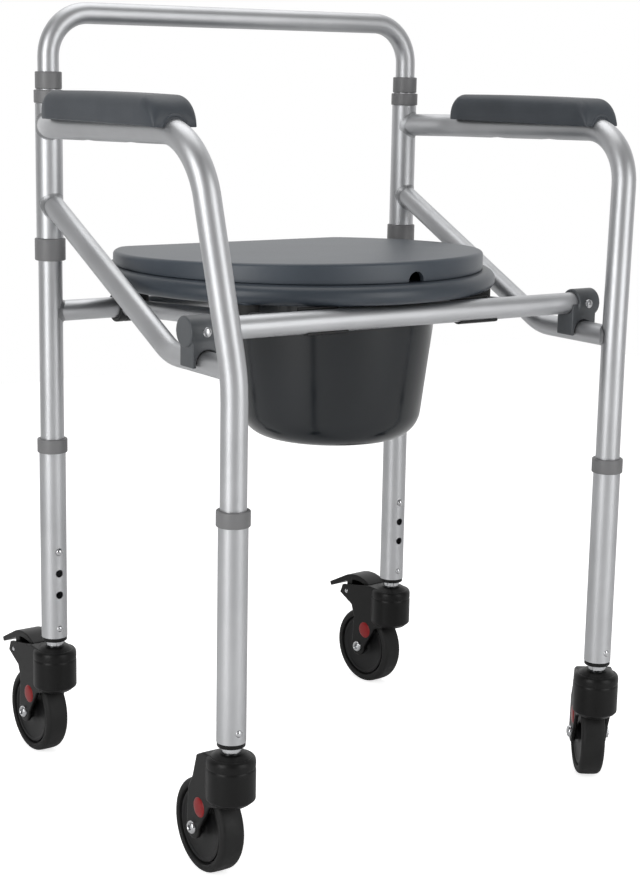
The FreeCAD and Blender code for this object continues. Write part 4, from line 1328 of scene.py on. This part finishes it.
def socket_head():
    return turned([(0, 1.3), (2.5, 1.4), (2.7, 3.4), (3.3, 3.95), (4.9, 3.6), (6.0, 2.6), (6.5, 1.2),
                   (6.5, 0), (4.0, 0), (4.0, -3), (0, -3)], 48)


def nut():
    head = hex_head(6.6, 3.4)
    end = turned([(0, 4.6), (2.9, 4.6), (3.4, 4.1), (3.4, -2), (0, -2)], 32)
    return joined(head, end)


def pivot_end():
    return turned([(0, 0.5), (1.9, 0.45), (2.5, 0.0), (2.5, -2), (0, -2)], 24)


for leg in LEG_CODES:
    caster = "caster_" + leg
    rounded_copy("fork_" + leg, "caster_housing_" + leg, caster, CASTER_NYLON, 0.8, 5)
    finish("dust_cap_" + leg, moved(dust_cap(), caster_place(leg)), caster, CASTER_NYLON,
           crease=32)
    inserts = on_cheeks(leg, red_insert, FORK_HALF - 0.3, CAP_BACK, CAP_UP)
    finish("red_inserts_" + leg, inserts, caster, RED_CAP, ["caster_caps_" + leg], crease=60)
    bolt = joined(moved(socket_head(), on_axle(leg, 0.2 - FORK_HALF, side=-1)),
                  moved(nut(), on_axle(leg, FORK_HALF - 0.2, side=1)),
                  moved(pin_bar(4.0, 37.0), on_axle(leg)))
    finish("axle_bolt_" + leg, bolt, caster, ZINC, ["caster_axle_" + leg], crease=34)

# %% [markdown]
# ## Brake pedals
# The rear casters have an arched pedal over the fork. It rocks on a cross pin whose bright ends show on
# the cheeks.

# %% Pedals
PIN_BACK, PIN_UP = 62.0, 112.0

for leg in ("rl", "rr"):
    rounded_copy("pedal_lever_" + leg, "brake_pedal_" + leg, "pedal_" + leg, CASTER_NYLON,
                 0.7, 4)
    ends = on_cheeks(leg, pivot_end, FORK_HALF, PIN_BACK, PIN_UP)
    finish("pedal_pin_ends_" + leg, ends, "pedal_" + leg, ZINC, crease=40)

# %% [markdown]
# ## Floor, background and light
# A pale seamless floor takes the soft shadow. The background is white to the camera and to mirror-like
# surfaces, and the lamps are broad and plain: a tall key at the left, a weaker fill nearly in front
# and a panel overhead that draws the pale band along the tubes.

# %% Floor
FLOOR_HALF = 2.4
FLOOR_LIFT = 0.70


def floor_material():
    material, tree = blank_material("painted_floor_pale_matt")
    path_kind = add(tree, "LightPath")
    paint = add(tree, "BsdfPrincipled", {"Base Color": linear("#fbfbfb"), "Roughness": 0.9})
    lift = add(tree, "Emission", {"Color": linear("#ffffff"), "Strength": FLOOR_LIFT})
    both = add(tree, "AddShader")
    tree.links.new(paint.outputs["BSDF"], both.inputs[0])
    tree.links.new(lift.outputs["Emission"], both.inputs[1])
    choice = add(tree, "MixShader", {"Fac": path_kind.outputs["Is Camera Ray"]})
    tree.links.new(paint.outputs["BSDF"], choice.inputs[1])
    tree.links.new(both.outputs["Shader"], choice.inputs[2])
    add(tree, "OutputMaterial", {"Surface": choice.outputs["Shader"]})
    return material


bm = bmesh.new()
bmesh.ops.create_grid(bm, x_segments=2, y_segments=2, size=FLOOR_HALF)
floor = placed("floor", mesh_from("floor", bm))
floor.data.materials.append(floor_material())

# %% World
ROOM_GLOW = 0.32
BACKDROP_SIDE = (0.5526, 0.8090, 0.0)

world = bpy.data.worlds.new("studio")
bpy.context.scene.world = world
world.use_nodes = True
tree = world.node_tree
tree.nodes.clear()
kind = add(tree, "LightPath")
mirror = add(tree, "Math", {0: kind.outputs["Is Glossy Ray"], 1: kind.outputs["Is Transmission Ray"]},
             operation="MAXIMUM")
toward = add(tree, "VectorMath", {0: add(tree, "TexCoord").outputs["Generated"], 1: BACKDROP_SIDE},
             operation="DOT_PRODUCT")
backdrop = add(tree, "MapRange", {"Value": toward.outputs["Value"], "From Min": -0.1, "From Max": 0.75,
                                  "To Min": 0.22, "To Max": 1.0})
mirrored = add(tree, "Math", {0: mirror.outputs["Value"], 1: backdrop.outputs["Result"]},
               operation="MULTIPLY")
seen = add(tree, "Math", {0: kind.outputs["Is Camera Ray"], 1: mirrored.outputs["Value"]},
           operation="MAXIMUM")
soft = add(tree, "Math", {0: 1.0, 1: mirror.outputs["Value"]}, operation="SUBTRACT")
room = add(tree, "Math", {0: soft.outputs["Value"], 1: ROOM_GLOW}, operation="MULTIPLY")
strength = add(tree, "Math", {0: seen.outputs["Value"], 1: room.outputs["Value"]}, operation="MAXIMUM")
background = add(tree, "Background", {"Color": linear("#ffffff"), "Strength": strength.outputs["Value"]})
add(tree, "OutputWorld", {"Surface": background.outputs["Background"]})
print("world ready")


# %% Lamps
def panel(name, place, target, width, height, power):
    """Soft rectangular lamp at a place, facing a target."""
    lamp = bpy.data.lights.new(name, "AREA")
    lamp.shape = "RECTANGLE"
    lamp.size = width
    lamp.size_y = height
    lamp.energy = power
    thing = placed(name, lamp)
    thing.location = place
    facing = (Vector(target) - Vector(place)).to_track_quat("-Z", "Y")
    thing.rotation_euler = facing.to_euler()
    return thing


panel("key", (-2.1, -0.67, 1.0), (0, 0, 0.5), 0.8, 1.9, 25)
panel("fill", (0.68, -2.09, 0.9), (0, 0, 0.5), 1.1, 1.7, 17)
panel("overhead", (0.2, 0.5, 2.6), (0, 0, 0.4), 2.0, 2.0, 20)

# %% [markdown]
# ## Camera
# The camera looks from the front left, a little above the arm pads, through a long lens.

# %% Camera
CAMERA_PLACE = (-1.0581, -1.5365, 0.7516)
SENSOR_MM = 36.0
LENS_MM = 101.7

right = Vector((0.82773, -0.56081, 0.01863))
up = Vector((0.09741, 0.17631, 0.97950))
back = right.cross(up)
turn = Matrix((right, up, back)).transposed().to_4x4()
lens = bpy.data.cameras.new("view")
lens.sensor_fit = "HORIZONTAL"
lens.sensor_width = SENSOR_MM
lens.lens = LENS_MM
camera = placed("view", lens)
camera.matrix_world = Matrix.Translation(CAMERA_PLACE) @ turn
bpy.context.scene.camera = camera
bpy.context.scene.view_settings.view_transform = "Standard"
